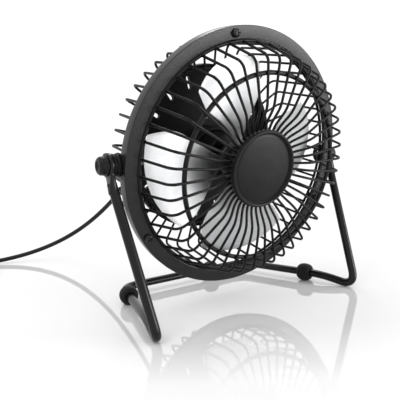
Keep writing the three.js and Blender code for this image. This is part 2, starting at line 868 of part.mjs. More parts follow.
// ---------------------------------------------------------------- assembly
const fan = new THREE.Group();
const stand = new THREE.Group();
fan.add(stand);

addPiece(stand, 'stand_frame', standFrame(), glossBlack);
for (const { name, side, share } of grommets) {
  const heading = legPoint(side, 1).sub(legPoint(side, 0));
  addPiece(stand, name, grommet(legPoint(side, share), heading), blackRubber);
}
const rearGrommetX = 19;
addPiece(
  stand,
  'foot_grommet_rear',
  grommet(new THREE.Vector3(rearGrommetX, rearCornerY, rodHeight), new THREE.Vector3(1, 0, 0)),
  blackRubber,
);

const pivots = new THREE.Group();
pivots.position.z = pivotHeight;
pivots.rotation.x = headLean * degrees;
fan.add(pivots);
const head = new THREE.Group();
head.position.y = -pivotBack;
pivots.add(head);

addPiece(head, 'ring_frame', ringFrame(), satinCharcoal);
addPiece(head, 'front_guard', frontGuard(), glossBlack);
addPiece(head, 'rear_guard', rearGuard(), glossBlack);
screwAngles.forEach((angle, i) => {
  const spot = new THREE.Group();
  spot.rotation.y = -angle * degrees;
  head.add(spot);
  const nutLow = rearTabLow + tabThickness + gap;
  addPiece(spot, `flange_screw_${i + 1}`, flangeScrew(), satinCharcoal).position.x = screwCircle;
  addPiece(spot, `flange_nut_${i + 1}`, hexNut(nutLow, nutAcross, nutHeight, screwHole), steel)
    .position.x = screwCircle;
});
addPiece(head, 'badge_disc', badgeDisc(), satinCharcoal);
addPiece(head, 'badge_back_plate', badgeBackPlate(), glossBlack);
addPiece(head, 'badge_screw', badgeScrew(), steel);
addPiece(head, 'fan_blades', fanBlades(), bladeAluminium);
addPiece(head, 'rotor_hub', rotorHub(), blackPlastic);
addPiece(head, 'hub_cap', hubCap(), blackPlastic);
addPiece(head, 'motor_shaft', motorShaft(), steel);
addPiece(head, 'motor_armature', motorArmature(), brassTone);
addPiece(head, 'motor_can', motorCan(), glossBlack);
addPiece(head, 'motor_end_cap', motorEndCap(), blackPlastic);
addPiece(head, 'bearing_front', bearing(canFront - 1.4 + gap), brassTone);
addPiece(head, 'bearing_rear', bearing(canRear - 1 - gap - bearingLength), brassTone);
addPiece(head, 'rear_housing', rearHousing(), blackPlastic);
[-1, 1].forEach((side) => {
  const word = side < 0 ? 'left' : 'right';
  const motorScrew = rearScrew(plateRear + gap, plateThickness + gap + 1.6);
  addPiece(head, `motor_screw_${word}`, motorScrew, steel).position.x = side * motorScrewReach;
  const coverScrew = rearScrew(coverRear + gap, coverDepth + plateThickness + 1);
  addPiece(head, `cover_screw_${side < 0 ? 'lower' : 'upper'}`, coverScrew, steel)
    .position.z = side * coverScrewReach;
  addPiece(pivots, `pivot_screw_${word}`, pivotScrew(side), steel);
  addPiece(pivots, `pivot_bush_${word}`, pivotBush(side), blackPlastic);
  addPiece(pivots, `cap_nut_${word}`, capNut(side), blackPlastic);
});
addPiece(head, 'rear_cover', rearCover(), blackPlastic);
addPiece(head, 'switch_bezel', switchBezel(), blackPlastic);
addPiece(head, 'switch_rocker', switchRocker(), blackPlastic);
addPiece(head, 'strain_relief', strainRelief(), blackRubber);

const lead = new THREE.Group();
fan.add(lead);

fan.updateMatrixWorld(true);
const footprint = new THREE.Box3().setFromObject(fan, true);
const footprintCentre = footprint.getCenter(new THREE.Vector3());
fan.position.set(-footprintCentre.x, -footprintCentre.y, 0);

addPiece(lead, 'power_cord', powerCord(), blackRubber);
addPiece(lead, 'cord_coil', coilSolid(), blackRubber);
addPiece(lead, 'cord_tie', coilTie(), satinCharcoal);
addPiece(lead, 'cord_tail', cordTail(), blackRubber);
addPiece(lead, 'usb_plug_body', usbOvermould(), blackPlastic);
addPiece(lead, 'usb_plug_shell', usbShell(), steel);
addPiece(lead, 'usb_plug_tongue', usbTongue(), blackPlastic);

export default fan;
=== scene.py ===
# Small metal desk fan on a bent rod stand, in metres, +Z up. The fan blows towards -Y.
# The head's own frame has the fan's axis as Y, with y = 0 in the middle of its flange ring;
# a place on the head is a radius and a y, or those turned about Y from +X towards +Z.
import json
import math

import bmesh
import bpy
import numpy as np
from mathutils import Matrix, Vector


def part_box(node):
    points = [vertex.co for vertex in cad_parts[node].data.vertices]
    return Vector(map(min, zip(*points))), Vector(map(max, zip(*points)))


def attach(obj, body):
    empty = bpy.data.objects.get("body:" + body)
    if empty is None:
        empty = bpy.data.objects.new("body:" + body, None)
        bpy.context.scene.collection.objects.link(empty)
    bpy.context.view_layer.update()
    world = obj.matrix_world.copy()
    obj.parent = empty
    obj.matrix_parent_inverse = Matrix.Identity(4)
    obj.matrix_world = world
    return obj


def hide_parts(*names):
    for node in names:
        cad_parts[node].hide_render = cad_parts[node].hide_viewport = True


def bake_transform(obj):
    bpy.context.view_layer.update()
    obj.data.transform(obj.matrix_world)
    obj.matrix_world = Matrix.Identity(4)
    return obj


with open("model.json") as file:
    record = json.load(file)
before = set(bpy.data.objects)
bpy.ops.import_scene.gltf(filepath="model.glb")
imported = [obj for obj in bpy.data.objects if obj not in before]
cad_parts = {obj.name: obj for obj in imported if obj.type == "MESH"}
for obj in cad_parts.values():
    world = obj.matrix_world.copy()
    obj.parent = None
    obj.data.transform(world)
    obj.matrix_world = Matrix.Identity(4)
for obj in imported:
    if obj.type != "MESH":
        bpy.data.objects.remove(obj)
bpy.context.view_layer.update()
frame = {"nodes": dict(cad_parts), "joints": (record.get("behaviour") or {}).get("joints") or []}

# ---------------------------------------------------------------- driving sizes, in millimetres
MM = 0.001
gap = 0.3  # between pieces that touch

# head
head_lean = 13.5  # degrees the front faces down
ring_radius = 70
ring_width = 6.5
ring_depth = 6
sheet = 0.8

# guards
wire_count = 46
wire = 1.4
rim_wire = 1.6
face_ring_radius = 48.3
face_ring_wire = 2.4
front_shoulder_radius = 56.5
front_reach = 22.6
step_outer_radius = 32
step_inner_radius = 22.5
step_depth = 4.6
front_end_radius = 14.5
rear_shoulder_radius = 62
rear_reach = 32.5
shoulder_bevel = 2
wire_bend = 3.2

# badge
badge_radius = 20.4
badge_proud = 3.3
badge_rim = 1.9

# screws and nuts
screw_angles = (102, 213, 337)  # degrees from +X towards +Z
screw_radius = 1.1
screw_head_radius = 2.3
screw_head_height = 1.9
nut_across = 4.2
nut_height = 2
tab_thickness = 0.8

# rotor and motor
blade_count = 4
blade_tip_radius = 55.5
blade_thickness = 0.8
blade_span = 66  # degrees of one blade at its widest
blade_tip_drop = 0.07  # how fast the tip's edge falls away from its highest place
blade_tip_lead = 0.4  # that place, as a share of half the blade's width
blade_sweep = 10
blade_root_share = 0.42  # width at the root, as a share of the widest
blade_taper = 0.14  # how much narrower the tip is than the widest place
blade_taper_start = 0.72
blade_pitch = 27
first_blade = 4
blade_disc_radius = 11
blade_plane = 3
hub_radius = 8.5
hub_neck = 4
hub_front = -4
hub_rear = 9.5
shaft_radius = 1
can_radius = 12.2
can_front = 12.5
can_rear = 33.6
bearing_radius = 3.4

# rear housing
plate_radius = 49.5
plate_thickness = 2.4
plate_front = 36.2
plate_rim_depth = 3
slot_count = 18
slot_inner = 36.5
slot_outer = 44.5
slot_width = 2.2
cover_radius = 23
cover_depth = 9
cover_wall = 1.6
motor_screw_reach = 8
cover_screw_reach = 18.5
switch_width = 8
switch_height = 12
switch_across = 8
switch_up = 4
gland_across = -9
gland_up = -9
gland_hole = 3
gland_length = 17
gland_end = plate_front + plate_thickness + cover_depth + gland_length + 4 * gap  # y where the lead leaves it

# stand
rod_radius = 2.4
pivot_reach = 74.8  # x of the stand's eyes
pivot_back = 5.5  # the pivots are this far behind the ring's middle
lug_width = 12  # of the ears on the ring that carry the pivots
front_corner_x = 67.5
front_corner_y = -27.4
rear_corner_x = 46.8
rear_corner_y = 56.3
corner_bend = 10
corner_drop = 1.5
knee_share = 0.27  # where each leg has risen to the grommets' height
foot_sink = 0.3
grommet_radius = 5.5
grommet_length = 9
eye_radius = 6
eye_thickness = 2.4
pivot_screw_radius = 1.3
bush_radius = 5.6
cap_radius = 4.6
cap_length = 4.2

# lead
cord_radius = 1.75
lead_straight = 8  # straight run behind the strain relief
lead_reach = 33  # the longer, the higher the lead arches before it falls
lead_swing = (12, 207)  # the place behind the fan that the fall heads for
lead_end = (-106, 220)  # where the lead lies beside its coil
lead_rest_z = 2
coil_centre_x = -123.5
coil_centre_y = 198
coil_radii = (23.5, 20, 16.5)  # one for each turn of a layer, from the outside in
coil_layers = (2.75, 6.4)  # height of each layer's middle
coil_entry = 84  # degrees, where the lead runs into the coil
coil_exit = 180
coil_shift = 50  # degrees of turn in which the lead moves over by one place
tie_angle = -40
tie_width = 7
tie_thickness = 0.6
plug_height = 4.2
plug_drop = 31.7  # from the coil's centre to the plug's near end, along -Y
plug_length = 24
shell_length = 14

# ---------------------------------------------------------------- places
tilt_joint = next(joint for joint in frame["joints"] if joint["name"] == "head_tilt")
pivot = Vector(tilt_joint["pos_m"])
pivot_height = pivot.z / MM
BASE = Matrix.Translation((0, pivot.y, 0))
PIVOTS = Matrix.Translation(pivot) @ Matrix.Rotation(math.radians(head_lean), 4, "X")
HEAD = PIVOTS @ Matrix.Translation((0, -pivot_back * MM, 0))


def around(angle):
    """Turn about the fan's axis, in degrees from +X towards +Z."""
    return Matrix.Rotation(-math.radians(angle), 4, "Y")


def on_head(x=0, y=0, z=0):
    return HEAD @ Matrix.Translation(Vector((x, y, z)) * MM)


# ---------------------------------------------------------------- camera
def add_camera(place, yaw, pitch, roll, lens):
    a, p, r = (math.radians(angle) for angle in (yaw, pitch, roll))
    forward = Vector((-math.sin(a) * math.cos(p), math.cos(a) * math.cos(p), -math.sin(p)))
    right = Vector((math.cos(a), math.sin(a), 0))
    up = right.cross(forward)
    tilted_right = right * math.cos(r) + up * math.sin(r)
    tilted_up = up * math.cos(r) - right * math.sin(r)
    data = bpy.data.cameras.new("camera")
    data.lens = lens
    data.sensor_width = 36
    camera = bpy.data.objects.new("camera", data)
    axes = Matrix((tilted_right, tilted_up, -forward)).transposed().to_4x4()
    camera.matrix_world = Matrix.Translation(place) @ axes
    bpy.context.scene.collection.objects.link(camera)
    bpy.context.scene.camera = camera


add_camera(place=(-0.162, -0.2203, 0.0843), yaw=-33.39, pitch=5.46, roll=-2.76, lens=42.44)

# ---------------------------------------------------------------- mesh work
# A shape is (points, faces): an array of places in millimetres and lists of point numbers.


def merged(shapes):
    points, faces, start = [], [], 0
    for shape_points, shape_faces in shapes:
        points.append(shape_points)
        faces += [[i + start for i in face] for face in shape_faces]
        start += len(shape_points)
    return np.vstack(points), faces


def moved(shape, matrix):
    points = np.asarray(shape[0], float)
    turn = np.array(matrix.to_3x3())
    return points @ turn.T + np.array(matrix.translation), shape[1]


def shifted(shape, x=0, y=0, z=0):
    return moved(shape, Matrix.Translation((x, y, z)))


def rings_to_shape(rings, closed_along, caps):
    """Joins rings of as many points each into a tube of faces."""
    sides = len(rings[0])
    count = len(rings)
    faces = []
    for i in range(count if closed_along else count - 1):
        here, there = i * sides, (i + 1) % count * sides
        faces += [
            [here + j, here + (j + 1) % sides, there + (j + 1) % sides, there + j]
            for j in range(sides)
        ]
    if caps and not closed_along:
        faces.append(list(range(sides))[::-1])
        faces.append([(count - 1) * sides + j for j in range(sides)])
    return np.vstack(rings), faces


def rounded(outline, radius, steps=4, closed=True):
    """An outline with an arc-like bend at each corner, which takes up to radius of each side."""
    points = [np.asarray(p, float) for p in outline]
    result = []
    for i, corner in enumerate(points):
        if not closed and i in (0, len(points) - 1):
            result.append(corner)
            continue
        before = points[i - 1] - corner
        after = points[(i + 1) % len(points)] - corner
        reach = min(radius, np.linalg.norm(before) * 0.45, np.linalg.norm(after) * 0.45)
        start = corner + before / np.linalg.norm(before) * reach
        end = corner + after / np.linalg.norm(after) * reach
        for t in np.linspace(0, 1, steps + 1):
            result.append((1 - t) ** 2 * start + 2 * t * (1 - t) * corner + t ** 2 * end)
    return result


def turned(profile, segments=96, closed=True):
    """Turns (radius, y) points about Y. A closed outline that touches the axis is given open."""
    angles = np.linspace(0, 2 * math.pi, segments, endpoint=False)
    rings = [
        np.column_stack([r * np.cos(angles), np.full(segments, y), r * np.sin(angles)])
        for r, y in profile
    ]
    along = [np.vstack([ring[j] for ring in rings]) for j in range(segments)]
    points, faces = rings_to_shape(along, closed_along=True, caps=False)
    if not closed:
        row = len(profile)
        faces = [face for face in faces if not {face[0] % row, face[1] % row} == {0, row - 1}]
    return points, faces


def solid_of(profile, bevel=0.3, segments=96):
    """Turns an outline whose first and last points are on the axis, with its edges rounded."""
    return turned(rounded(profile, bevel, closed=False), segments, closed=False)


def ring_of(profile, bevel=0.3, segments=96):
    return turned(rounded(profile, bevel), segments)


def tube(path, radius, sides=16, closed=False):
    """A round tube along a path, carried along it without twist."""
    path = np.asarray(path, float)
    count = len(path)
    ahead = np.roll(path, -1, axis=0) - path
    behind = path - np.roll(path, 1, axis=0)
    if not closed:
        ahead[-1] = behind[-1]
        behind[0] = ahead[0]
    tangents = ahead / np.linalg.norm(ahead, axis=1)[:, None]
    tangents = tangents + behind / np.linalg.norm(behind, axis=1)[:, None]
    tangents /= np.linalg.norm(tangents, axis=1)[:, None]
    helper = np.eye(3)[np.argmin(np.abs(tangents[0]))]
    normal = np.cross(tangents[0], helper)
    angles = np.linspace(0, 2 * math.pi, sides, endpoint=False)
    rings = []
    for i in range(count):
        normal = normal - tangents[i] * normal.dot(tangents[i])
        normal /= np.linalg.norm(normal)
        side = np.cross(tangents[i], normal)
        circle = np.outer(np.cos(angles), normal) + np.outer(np.sin(angles), side)
        rings.append(path[i] + radius * circle)
    return rings_to_shape(rings, closed, caps=True)


def hoop(radius, y, diameter, segments=184, sides=14):
    angles = np.linspace(0, 2 * math.pi, segments, endpoint=False)
    path = np.column_stack([radius * np.cos(angles), np.full(segments, y), radius * np.sin(angles)])
    return tube(path, diameter / 2, sides, closed=True)


def block(width, depth, height, bevel=0.0):
    """A box about the origin, with its edges rounded off when bevel is set."""
    mesh = bmesh.new()
    bmesh.ops.create_cube(mesh, size=1, matrix=Matrix.Diagonal((width, depth, height, 1)))
    if bevel:
        bmesh.ops.bevel(mesh, geom=mesh.edges[:], offset=bevel, segments=3, profile=0.5, affect="EDGES")
    mesh.verts.index_update()
    shape = np.array([v.co for v in mesh.verts]), [[v.index for v in f.verts] for f in mesh.faces]
    mesh.free()
    return shape


def loft(sections):
    """Joins section outlines of as many points each, closed at both ends."""
    return rings_to_shape([np.asarray(section, float) for section in sections], False, caps=True)


def superellipse(half_width, half_height, power, sides=32):
    """A round-cornered outline: power 2 is an ellipse, and more is squarer."""
    angles = (np.arange(sides) + 0.5) / sides * 2 * math.pi
    c, s = np.cos(angles), np.sin(angles)
    return np.column_stack([
        half_width * np.sign(c) * np.abs(c) ** (2 / power),
        half_height * np.sign(s) * np.abs(s) ** (2 / power),
    ])


def smooth_step(t):
    t = np.clip(t, 0, 1)
    return t * t * (3 - 2 * t)


def to_mesh(name, shape, sharp=38):
    mesh = bpy.data.meshes.new(name)
    points = np.asarray(shape[0], float) * MM
    mesh.from_pydata(points.tolist(), [], shape[1])
    work = bmesh.new()
    work.from_mesh(mesh)
    bmesh.ops.remove_doubles(work, verts=work.verts, dist=1e-7)
    bmesh.ops.recalc_face_normals(work, faces=work.faces)
    work.to_mesh(mesh)
    work.free()
    mesh.shade_smooth()
    mesh.set_sharp_from_angle(angle=math.radians(sharp))
    return mesh


def cut_mesh(mesh, cutters, sharp=38):
    """The mesh with the cutter shapes taken away."""
    body = bpy.data.objects.new("cut_body", mesh)
    bpy.context.scene.collection.objects.link(body)
    tools = []
    for cutter in cutters:
        tool = bpy.data.objects.new("cut_tool", to_mesh("cut_tool", cutter))
        bpy.context.scene.collection.objects.link(tool)
        modifier = body.modifiers.new("cut", "BOOLEAN")
        modifier.operation = "DIFFERENCE"
        modifier.solver = "EXACT"
        modifier.object = tool
        tools.append(tool)
    bpy.context.view_layer.update()
    depsgraph = bpy.context.evaluated_depsgraph_get()
    result = bpy.data.meshes.new_from_object(body.evaluated_get(depsgraph))
    result.name = mesh.name
    for o in [body, *tools]:
        bpy.data.objects.remove(o)
    result.shade_smooth()
    result.set_sharp_from_angle(angle=math.radians(sharp))
    return result


def add_piece(name, made, material, body, stands_for=(), matrix=HEAD):
    """Adds a mesh, or a shape that is made into one, as a piece that rides on a body."""
    mesh = to_mesh(name, made) if isinstance(made, tuple) else made
    piece = bpy.data.objects.new(name, mesh)
    piece.matrix_world = matrix
    bpy.context.scene.collection.objects.link(piece)
    piece.data.materials.clear()
    piece.data.materials.append(material)
    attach(piece, body)
    if stands_for:
        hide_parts(*stands_for)
    return piece


# ---------------------------------------------------------------- finishes
class Finish:
    """A node material on one Principled shader, in the piece's own coordinates, in metres."""

    def __init__(self, name, **sockets):
        self.material = bpy.data.materials.new(name)
        self.material.use_nodes = True
        self.tree = self.material.node_tree
        self.shader = self.tree.nodes["Principled BSDF"]
        self.coordinates = self.node("ShaderNodeTexCoord").outputs["Object"]
        for socket, value in sockets.items():
            self.shader.inputs[socket.replace("_", " ")].default_value = value

    def node(self, kind, **settings):
        made = self.tree.nodes.new(kind)
        for key, value in settings.items():
            setattr(made, key, value)
        return made

    def link(self, source, target):
        self.tree.links.new(source, target)

    def stretched(self, x=1.0, y=1.0, z=1.0):
        """The piece's coordinates, scaled along each axis: a small number draws a pattern out."""
        mapping = self.node("ShaderNodeMapping")
        mapping.inputs["Scale"].default_value = (x, y, z)
        self.link(self.coordinates, mapping.inputs["Vector"])
        return mapping.outputs["Vector"]

    def polar(self, turns, along=1.0, out=1.0):
        """Coordinates of angle about the axis, place along it, and radius, for turned grain."""
        parts = self.node("ShaderNodeSeparateXYZ")
        self.link(self.coordinates, parts.inputs["Vector"])
        angle = self.maths("ARCTAN2", parts.outputs["Z"], parts.outputs["X"])
        square = self.maths("ADD", self.maths("MULTIPLY", parts.outputs["X"], parts.outputs["X"]),
                            self.maths("MULTIPLY", parts.outputs["Z"], parts.outputs["Z"]))
        joined = self.node("ShaderNodeCombineXYZ")
        self.link(self.maths("MULTIPLY", angle, turns), joined.inputs["X"])
        self.link(self.maths("MULTIPLY", parts.outputs["Y"], along), joined.inputs["Y"])
        self.link(self.maths("MULTIPLY", self.maths("SQRT", square), out), joined.inputs["Z"])
        return joined.outputs["Vector"]

    def maths(self, operation, *values):
        made = self.node("ShaderNodeMath", operation=operation)
        for socket, value in zip(made.inputs, values):
            if isinstance(value, (int, float)):
                socket.default_value = value
            else:
                self.link(value, socket)
        return made.outputs["Value"]

    def noise(self, scale, detail=4.0, roughness=0.55, at=None):
        made = self.node("ShaderNodeTexNoise")
        made.inputs["Scale"].default_value = scale
        made.inputs["Detail"].default_value = detail
        made.inputs["Roughness"].default_value = roughness
        self.link(at or self.coordinates, made.inputs["Vector"])
        return made.outputs["Fac"]

    def cells(self, scale):
        made = self.node("ShaderNodeTexVoronoi")
        made.inputs["Scale"].default_value = scale
        self.link(self.coordinates, made.inputs["Vector"])
        return made.outputs["Distance"]

    def spread(self, factor, low, high, start=0.3, end=0.7):
        """Maps a pattern's middle range onto low..high."""
        made = self.node("ShaderNodeMapRange")
        for socket, value in zip(("From Min", "From Max", "To Min", "To Max"), (start, end, low, high)):
            made.inputs[socket].default_value = value
        self.link(factor, made.inputs["Value"])
        return made.outputs["Result"]

    def colours(self, factor, *stops):
        """A colour ramp; each stop is (place, (r, g, b))."""
        made = self.node("ShaderNodeValToRGB")
        ramp = made.color_ramp
        while len(ramp.elements) < len(stops):
            ramp.elements.new(0.5)
        for element, (place, colour) in zip(ramp.elements, stops):
            element.position = place
            element.color = (*colour, 1)
        self.link(factor, made.inputs["Fac"])
        return made.outputs["Color"]

    def blend(self, factor, first, second):
        made = self.node("ShaderNodeMix", data_type="RGBA")
        self.link(factor, made.inputs["Factor"])
        for socket, value in ((made.inputs[6], first), (made.inputs[7], second)):
            if isinstance(value, tuple):
                socket.default_value = (*value, 1)
            else:
                self.link(value, socket)
        return made.outputs[2]

    def edges(self, reach):
        """0 on flats and rises towards 1 at sharp edges within reach, in metres."""
        bevel = self.node("ShaderNodeBevel", samples=4)
        bevel.inputs["Radius"].default_value = reach
        geometry = self.node("ShaderNodeNewGeometry")
        dot = self.node("ShaderNodeVectorMath", operation="DOT_PRODUCT")
        self.link(bevel.outputs["Normal"], dot.inputs[0])
        self.link(geometry.outputs["Normal"], dot.inputs[1])
        return self.maths("SUBTRACT", 1.0, dot.outputs["Value"])

    def bumps(self, *layers, edge=0.0):
        """Adds (height, distance in metres, strength) layers of relief, over edges rounded by edge."""
        normal = None
        if edge:
            bevel = self.node("ShaderNodeBevel", samples=4)
            bevel.inputs["Radius"].default_value = edge
            normal = bevel.outputs["Normal"]
        for height, distance, strength in layers:
            made = self.node("ShaderNodeBump")
            made.inputs["Distance"].default_value = distance
            made.inputs["Strength"].default_value = strength
            self.link(height, made.inputs["Height"])
            if normal:
                self.link(normal, made.inputs["Normal"])
            normal = made.outputs["Normal"]
        self.link(normal, self.shader.inputs["Normal"])
        return self

    def paint(self, colour, roughness):
        self.link(colour, self.shader.inputs["Base Color"])
        self.link(roughness, self.shader.inputs["Roughness"])
        return self


def gloss_paint(name, tone, rough, coat):
    """Hard black enamel: faint orange peel, dulled patches and a few dust nibs."""
    f = Finish(name, Specular_IOR_Level=0.2, Coat_Weight=coat, Coat_Roughness=0.08)
    handled = f.noise(55, 3)
    peel = f.noise(420, 2)
    nibs = f.spread(f.cells(260), 1, 0, 0.0, 0.09)
    dark = tuple(c * 0.75 for c in tone)
    pale = tuple(c * 1.5 for c in tone)
    f.paint(f.colours(handled, (0.32, dark), (0.7, pale)), f.spread(handled, rough * 0.8, rough * 1.35))
    return f.bumps((peel, 0.00006, 0.35), (nibs, 0.00003, 0.25)).material


def powder_paint(name, tone, rough, shine=0.34):
    """Satin powder coat: a fine leathery grain, paler along edges, partly worn thinner and greyer and partly
    a painted highlight.
    """
    f = Finish(name, Specular_IOR_Level=shine)
    grain = f.noise(2100, 3)
    cloud = f.noise(38, 4)
    dark = tuple(c * 0.82 for c in tone)
    pale = tuple(c * 1.22 for c in tone)
    body = f.colours(cloud, (0.3, dark), (0.72, pale))
    # paler edges: partly real wear, partly a painted highlight along every sharp edge
    pale_edges = f.maths("MULTIPLY", f.spread(f.edges(0.0006), 0, 0.6, 0.02, 0.4), f.spread(f.noise(260, 3), 0, 1))
    f.paint(f.blend(pale_edges, body, tuple(c * 2.6 for c in tone)), f.spread(grain, rough * 0.85, rough * 1.25))
    return f.bumps((grain, 0.00004, 0.55), (f.noise(640, 2), 0.00005, 0.3), edge=0.00025).material


def moulded(name, tone, rough, grain_scale=2600):
    """Spark-textured plastic: matt pits, smoother where hands touch it, pale at worn edges."""
    f = Finish(name, Specular_IOR_Level=0.2)
    pits = f.cells(grain_scale)
    cloud = f.noise(60, 4)
    dark = tuple(c * 0.8 for c in tone)
    pale = tuple(c * 1.3 for c in tone)
    pale_edges = f.maths("MULTIPLY", f.spread(f.edges(0.0005), 0, 0.5, 0.03, 0.4), f.spread(f.noise(400, 3), 0, 1))
    body = f.blend(pale_edges, f.colours(cloud, (0.3, dark), (0.7, pale)), tuple(c * 2.4 for c in tone))
    f.paint(body, f.spread(cloud, rough * 0.85, rough * 1.15))
    return f.bumps((pits, 0.00005, 0.5), (f.noise(900, 2), 0.00004, 0.25), edge=0.0003).material


def soft_rubber(name, tone, rough):
    """Rubber or soft vinyl: a dry bloom in patches, dust in the pores and a dull sheen."""
    f = Finish(name, Sheen_Weight=0.04, Sheen_Roughness=0.5, Specular_IOR_Level=0.22)
    bloom = f.noise(90, 5, 0.65)
    pores = f.noise(1900, 4)
    dust = f.spread(f.noise(3200, 2), 0, 0.35, 0.62, 0.75)
    body = f.colours(bloom, (0.34, tuple(c * 0.8 for c in tone)), (0.75, tuple(c * 1.7 for c in tone)))
    f.paint(f.blend(dust, body, tuple(c * 4 for c in tone)), f.spread(bloom, rough * 0.85, rough * 1.1))
    return f.bumps((pores, 0.00005, 0.5), (f.noise(300, 2), 0.00006, 0.25)).material


def turned_metal(name, tone, rough):
    """Metal with the fine rings of turning about its own Y axis."""
    f = Finish(name, Metallic=1, Anisotropic=0.35)
    rings = f.noise(1, 3, 0.7, at=f.polar(0.6, 4000, 4000))
    smudge = f.noise(120, 4)
    f.paint(f.colours(smudge, (0.3, tuple(c * 0.82 for c in tone)), (0.7, tone)),
            f.spread(f.maths("ADD", f.maths("MULTIPLY", rings, 0.6), f.maths("MULTIPLY", smudge, 0.4)),
                     rough * 0.75, rough * 1.3))
    return f.bumps((rings, 0.00003, 0.35), (f.noise(600, 2), 0.00002, 0.2), edge=0.0002).material


def drawn_metal(name, tone, rough):
    """Plain plated or drawn metal, with scratches that run mostly one way."""
    f = Finish(name, Metallic=1)
    drawn = f.noise(900, 4, 0.6, at=f.stretched(1, 1, 0.08))
    smudge = f.noise(150, 4)
    f.paint(f.colours(smudge, (0.3, tuple(c * 0.78 for c in tone)), (0.7, tone)),
            f.spread(drawn, rough * 0.7, rough * 1.35))
    return f.bumps((drawn, 0.00003, 0.4), edge=0.0002).material


def rolled_aluminium(name, tone, rough):
    """Bright satin sheet: rolling lines across the blades, soft dents and a painted shade near the root,
    where the blade mirrors the dark hub.
    """
    root_reach = (0.018, 0.034)  # metres from the axis, where the painted shade thins out
    f = Finish(name, Metallic=0.85, Anisotropic=0.3)
    lines = f.noise(1500, 4, 0.65, at=f.stretched(0.05, 1, 1))
    cross = f.noise(420, 3)
    dents = f.noise(45, 2)
    parts = f.polar(1, 1, 1)
    split = f.node("ShaderNodeSeparateXYZ")
    f.link(parts, split.inputs["Vector"])
    root = f.spread(split.outputs["Z"], 1, 0, *root_reach)
    # painted shade: the blade's colour darkens towards the root, standing in for the hub's shade and dark
    # reflection there
    painted_root_shade = f.maths("MULTIPLY", root, f.spread(f.noise(160, 3), 0.8, 1.0))
    body = f.colours(lines, (0.25, tuple(c * 0.9 for c in tone)), (0.75, tone))
    f.paint(f.blend(painted_root_shade, body, tuple(c * 0.06 for c in tone)),
            f.spread(f.maths("ADD", f.maths("MULTIPLY", lines, 0.6), f.maths("MULTIPLY", cross, 0.4)),
                     rough * 0.8, rough * 1.25))
    return f.bumps((lines, 0.00003, 0.35), (dents, 0.0003, 0.22), edge=0.0002).material


enamel = gloss_paint("enamel_black", (0.003, 0.003, 0.0033), 0.2, 0.12)
wire_enamel = gloss_paint("enamel_wire", (0.0025, 0.0025, 0.0027), 0.34, 0.0)
ring_paint = powder_paint("powder_charcoal", (0.008, 0.0078, 0.0088), 0.3)
badge_paint = powder_paint("powder_badge", (0.006, 0.006, 0.0066), 0.3, 0.17)
plastic = moulded("plastic_black", (0.0035, 0.0035, 0.0038), 0.5)
smooth_plastic = moulded("plastic_smooth", (0.0035, 0.0035, 0.0038), 0.28, 5200)
rubber = soft_rubber("rubber_black", (0.004, 0.004, 0.004), 0.7)
vinyl = soft_rubber("vinyl_lead", (0.004, 0.004, 0.0043), 0.4)
aluminium = rolled_aluminium("aluminium_blade", (0.76, 0.765, 0.775), 0.4)
steel = turned_metal("steel_turned", (0.56, 0.57, 0.59), 0.3)
plate_steel = drawn_metal("steel_plated", (0.6, 0.61, 0.62), 0.28)
bronze = turned_metal("bronze_bush", (0.62, 0.45, 0.24), 0.38)
contact_gold = drawn_metal("contact_gold", (0.85, 0.62, 0.25), 0.25)
mark_paint = powder_paint("mark_white", (0.62, 0.62, 0.6), 0.5)

# ---------------------------------------------------------------- lead, coil, tie and plug
plug_x = coil_centre_x - coil_radii[0]
plug_top = coil_centre_y - plug_drop


def fall_path(spacing=2.0):
    """Straight out of the strain relief, then one long fall that settles on the table."""
    out = HEAD.to_3x3() @ Vector((0, 1, 0))
    exit_place = HEAD @ (Vector((gland_across, gland_end, gland_up)) * MM)
    start = Vector((exit_place.x, exit_place.y - pivot.y, exit_place.z)) / MM
    bend = start + out * lead_straight
    corners = [np.array(place) for place in (
        bend,
        bend + out * lead_reach,
        Vector((*lead_swing, lead_rest_z)),
        Vector((*lead_end, lead_rest_z)),
    )]
    run = [np.array(start + out * s) for s in np.arange(0, lead_straight, spacing)]
    count = round(np.linalg.norm(np.diff(corners, axis=0), axis=1).sum() * 0.85 / spacing)
    for t in np.linspace(0, 1, count):
        weights = ((1 - t) ** 3, 3 * t * (1 - t) ** 2, 3 * t * t * (1 - t), t ** 3)
        run.append(sum(w * corner for w, corner in zip(weights, corners)))
    return np.array(run)


def smooth_path(points, spacing=2.0):
    """A centripetal Catmull-Rom curve through the points, sampled about every spacing."""
    p = np.asarray(points, float)
    p = np.vstack([2 * p[0] - p[1], p, 2 * p[-1] - p[-2]])
    result = []
    for p0, p1, p2, p3 in zip(p, p[1:], p[2:], p[3:]):
        d0, d1, d2 = (math.sqrt(np.linalg.norm(b - a)) for a, b in ((p0, p1), (p1, p2), (p2, p3)))
        leave = ((p1 - p0) / d0 - (p2 - p0) / (d0 + d1) + (p2 - p1) / d1) * d1
        arrive = ((p2 - p1) / d1 - (p3 - p1) / (d1 + d2) + (p3 - p2) / d2) * d1
        count = max(2, round(np.linalg.norm(p2 - p1) / spacing))
        for t in np.linspace(0, 1, count, endpoint=False):
            result.append(
                (2 * t ** 3 - 3 * t ** 2 + 1) * p1 + (t ** 3 - 2 * t ** 2 + t) * leave
                + (3 * t ** 2 - 2 * t ** 3) * p2 + (t ** 3 - t ** 2) * arrive
            )
    result.append(p[-2])
    return np.array(result)


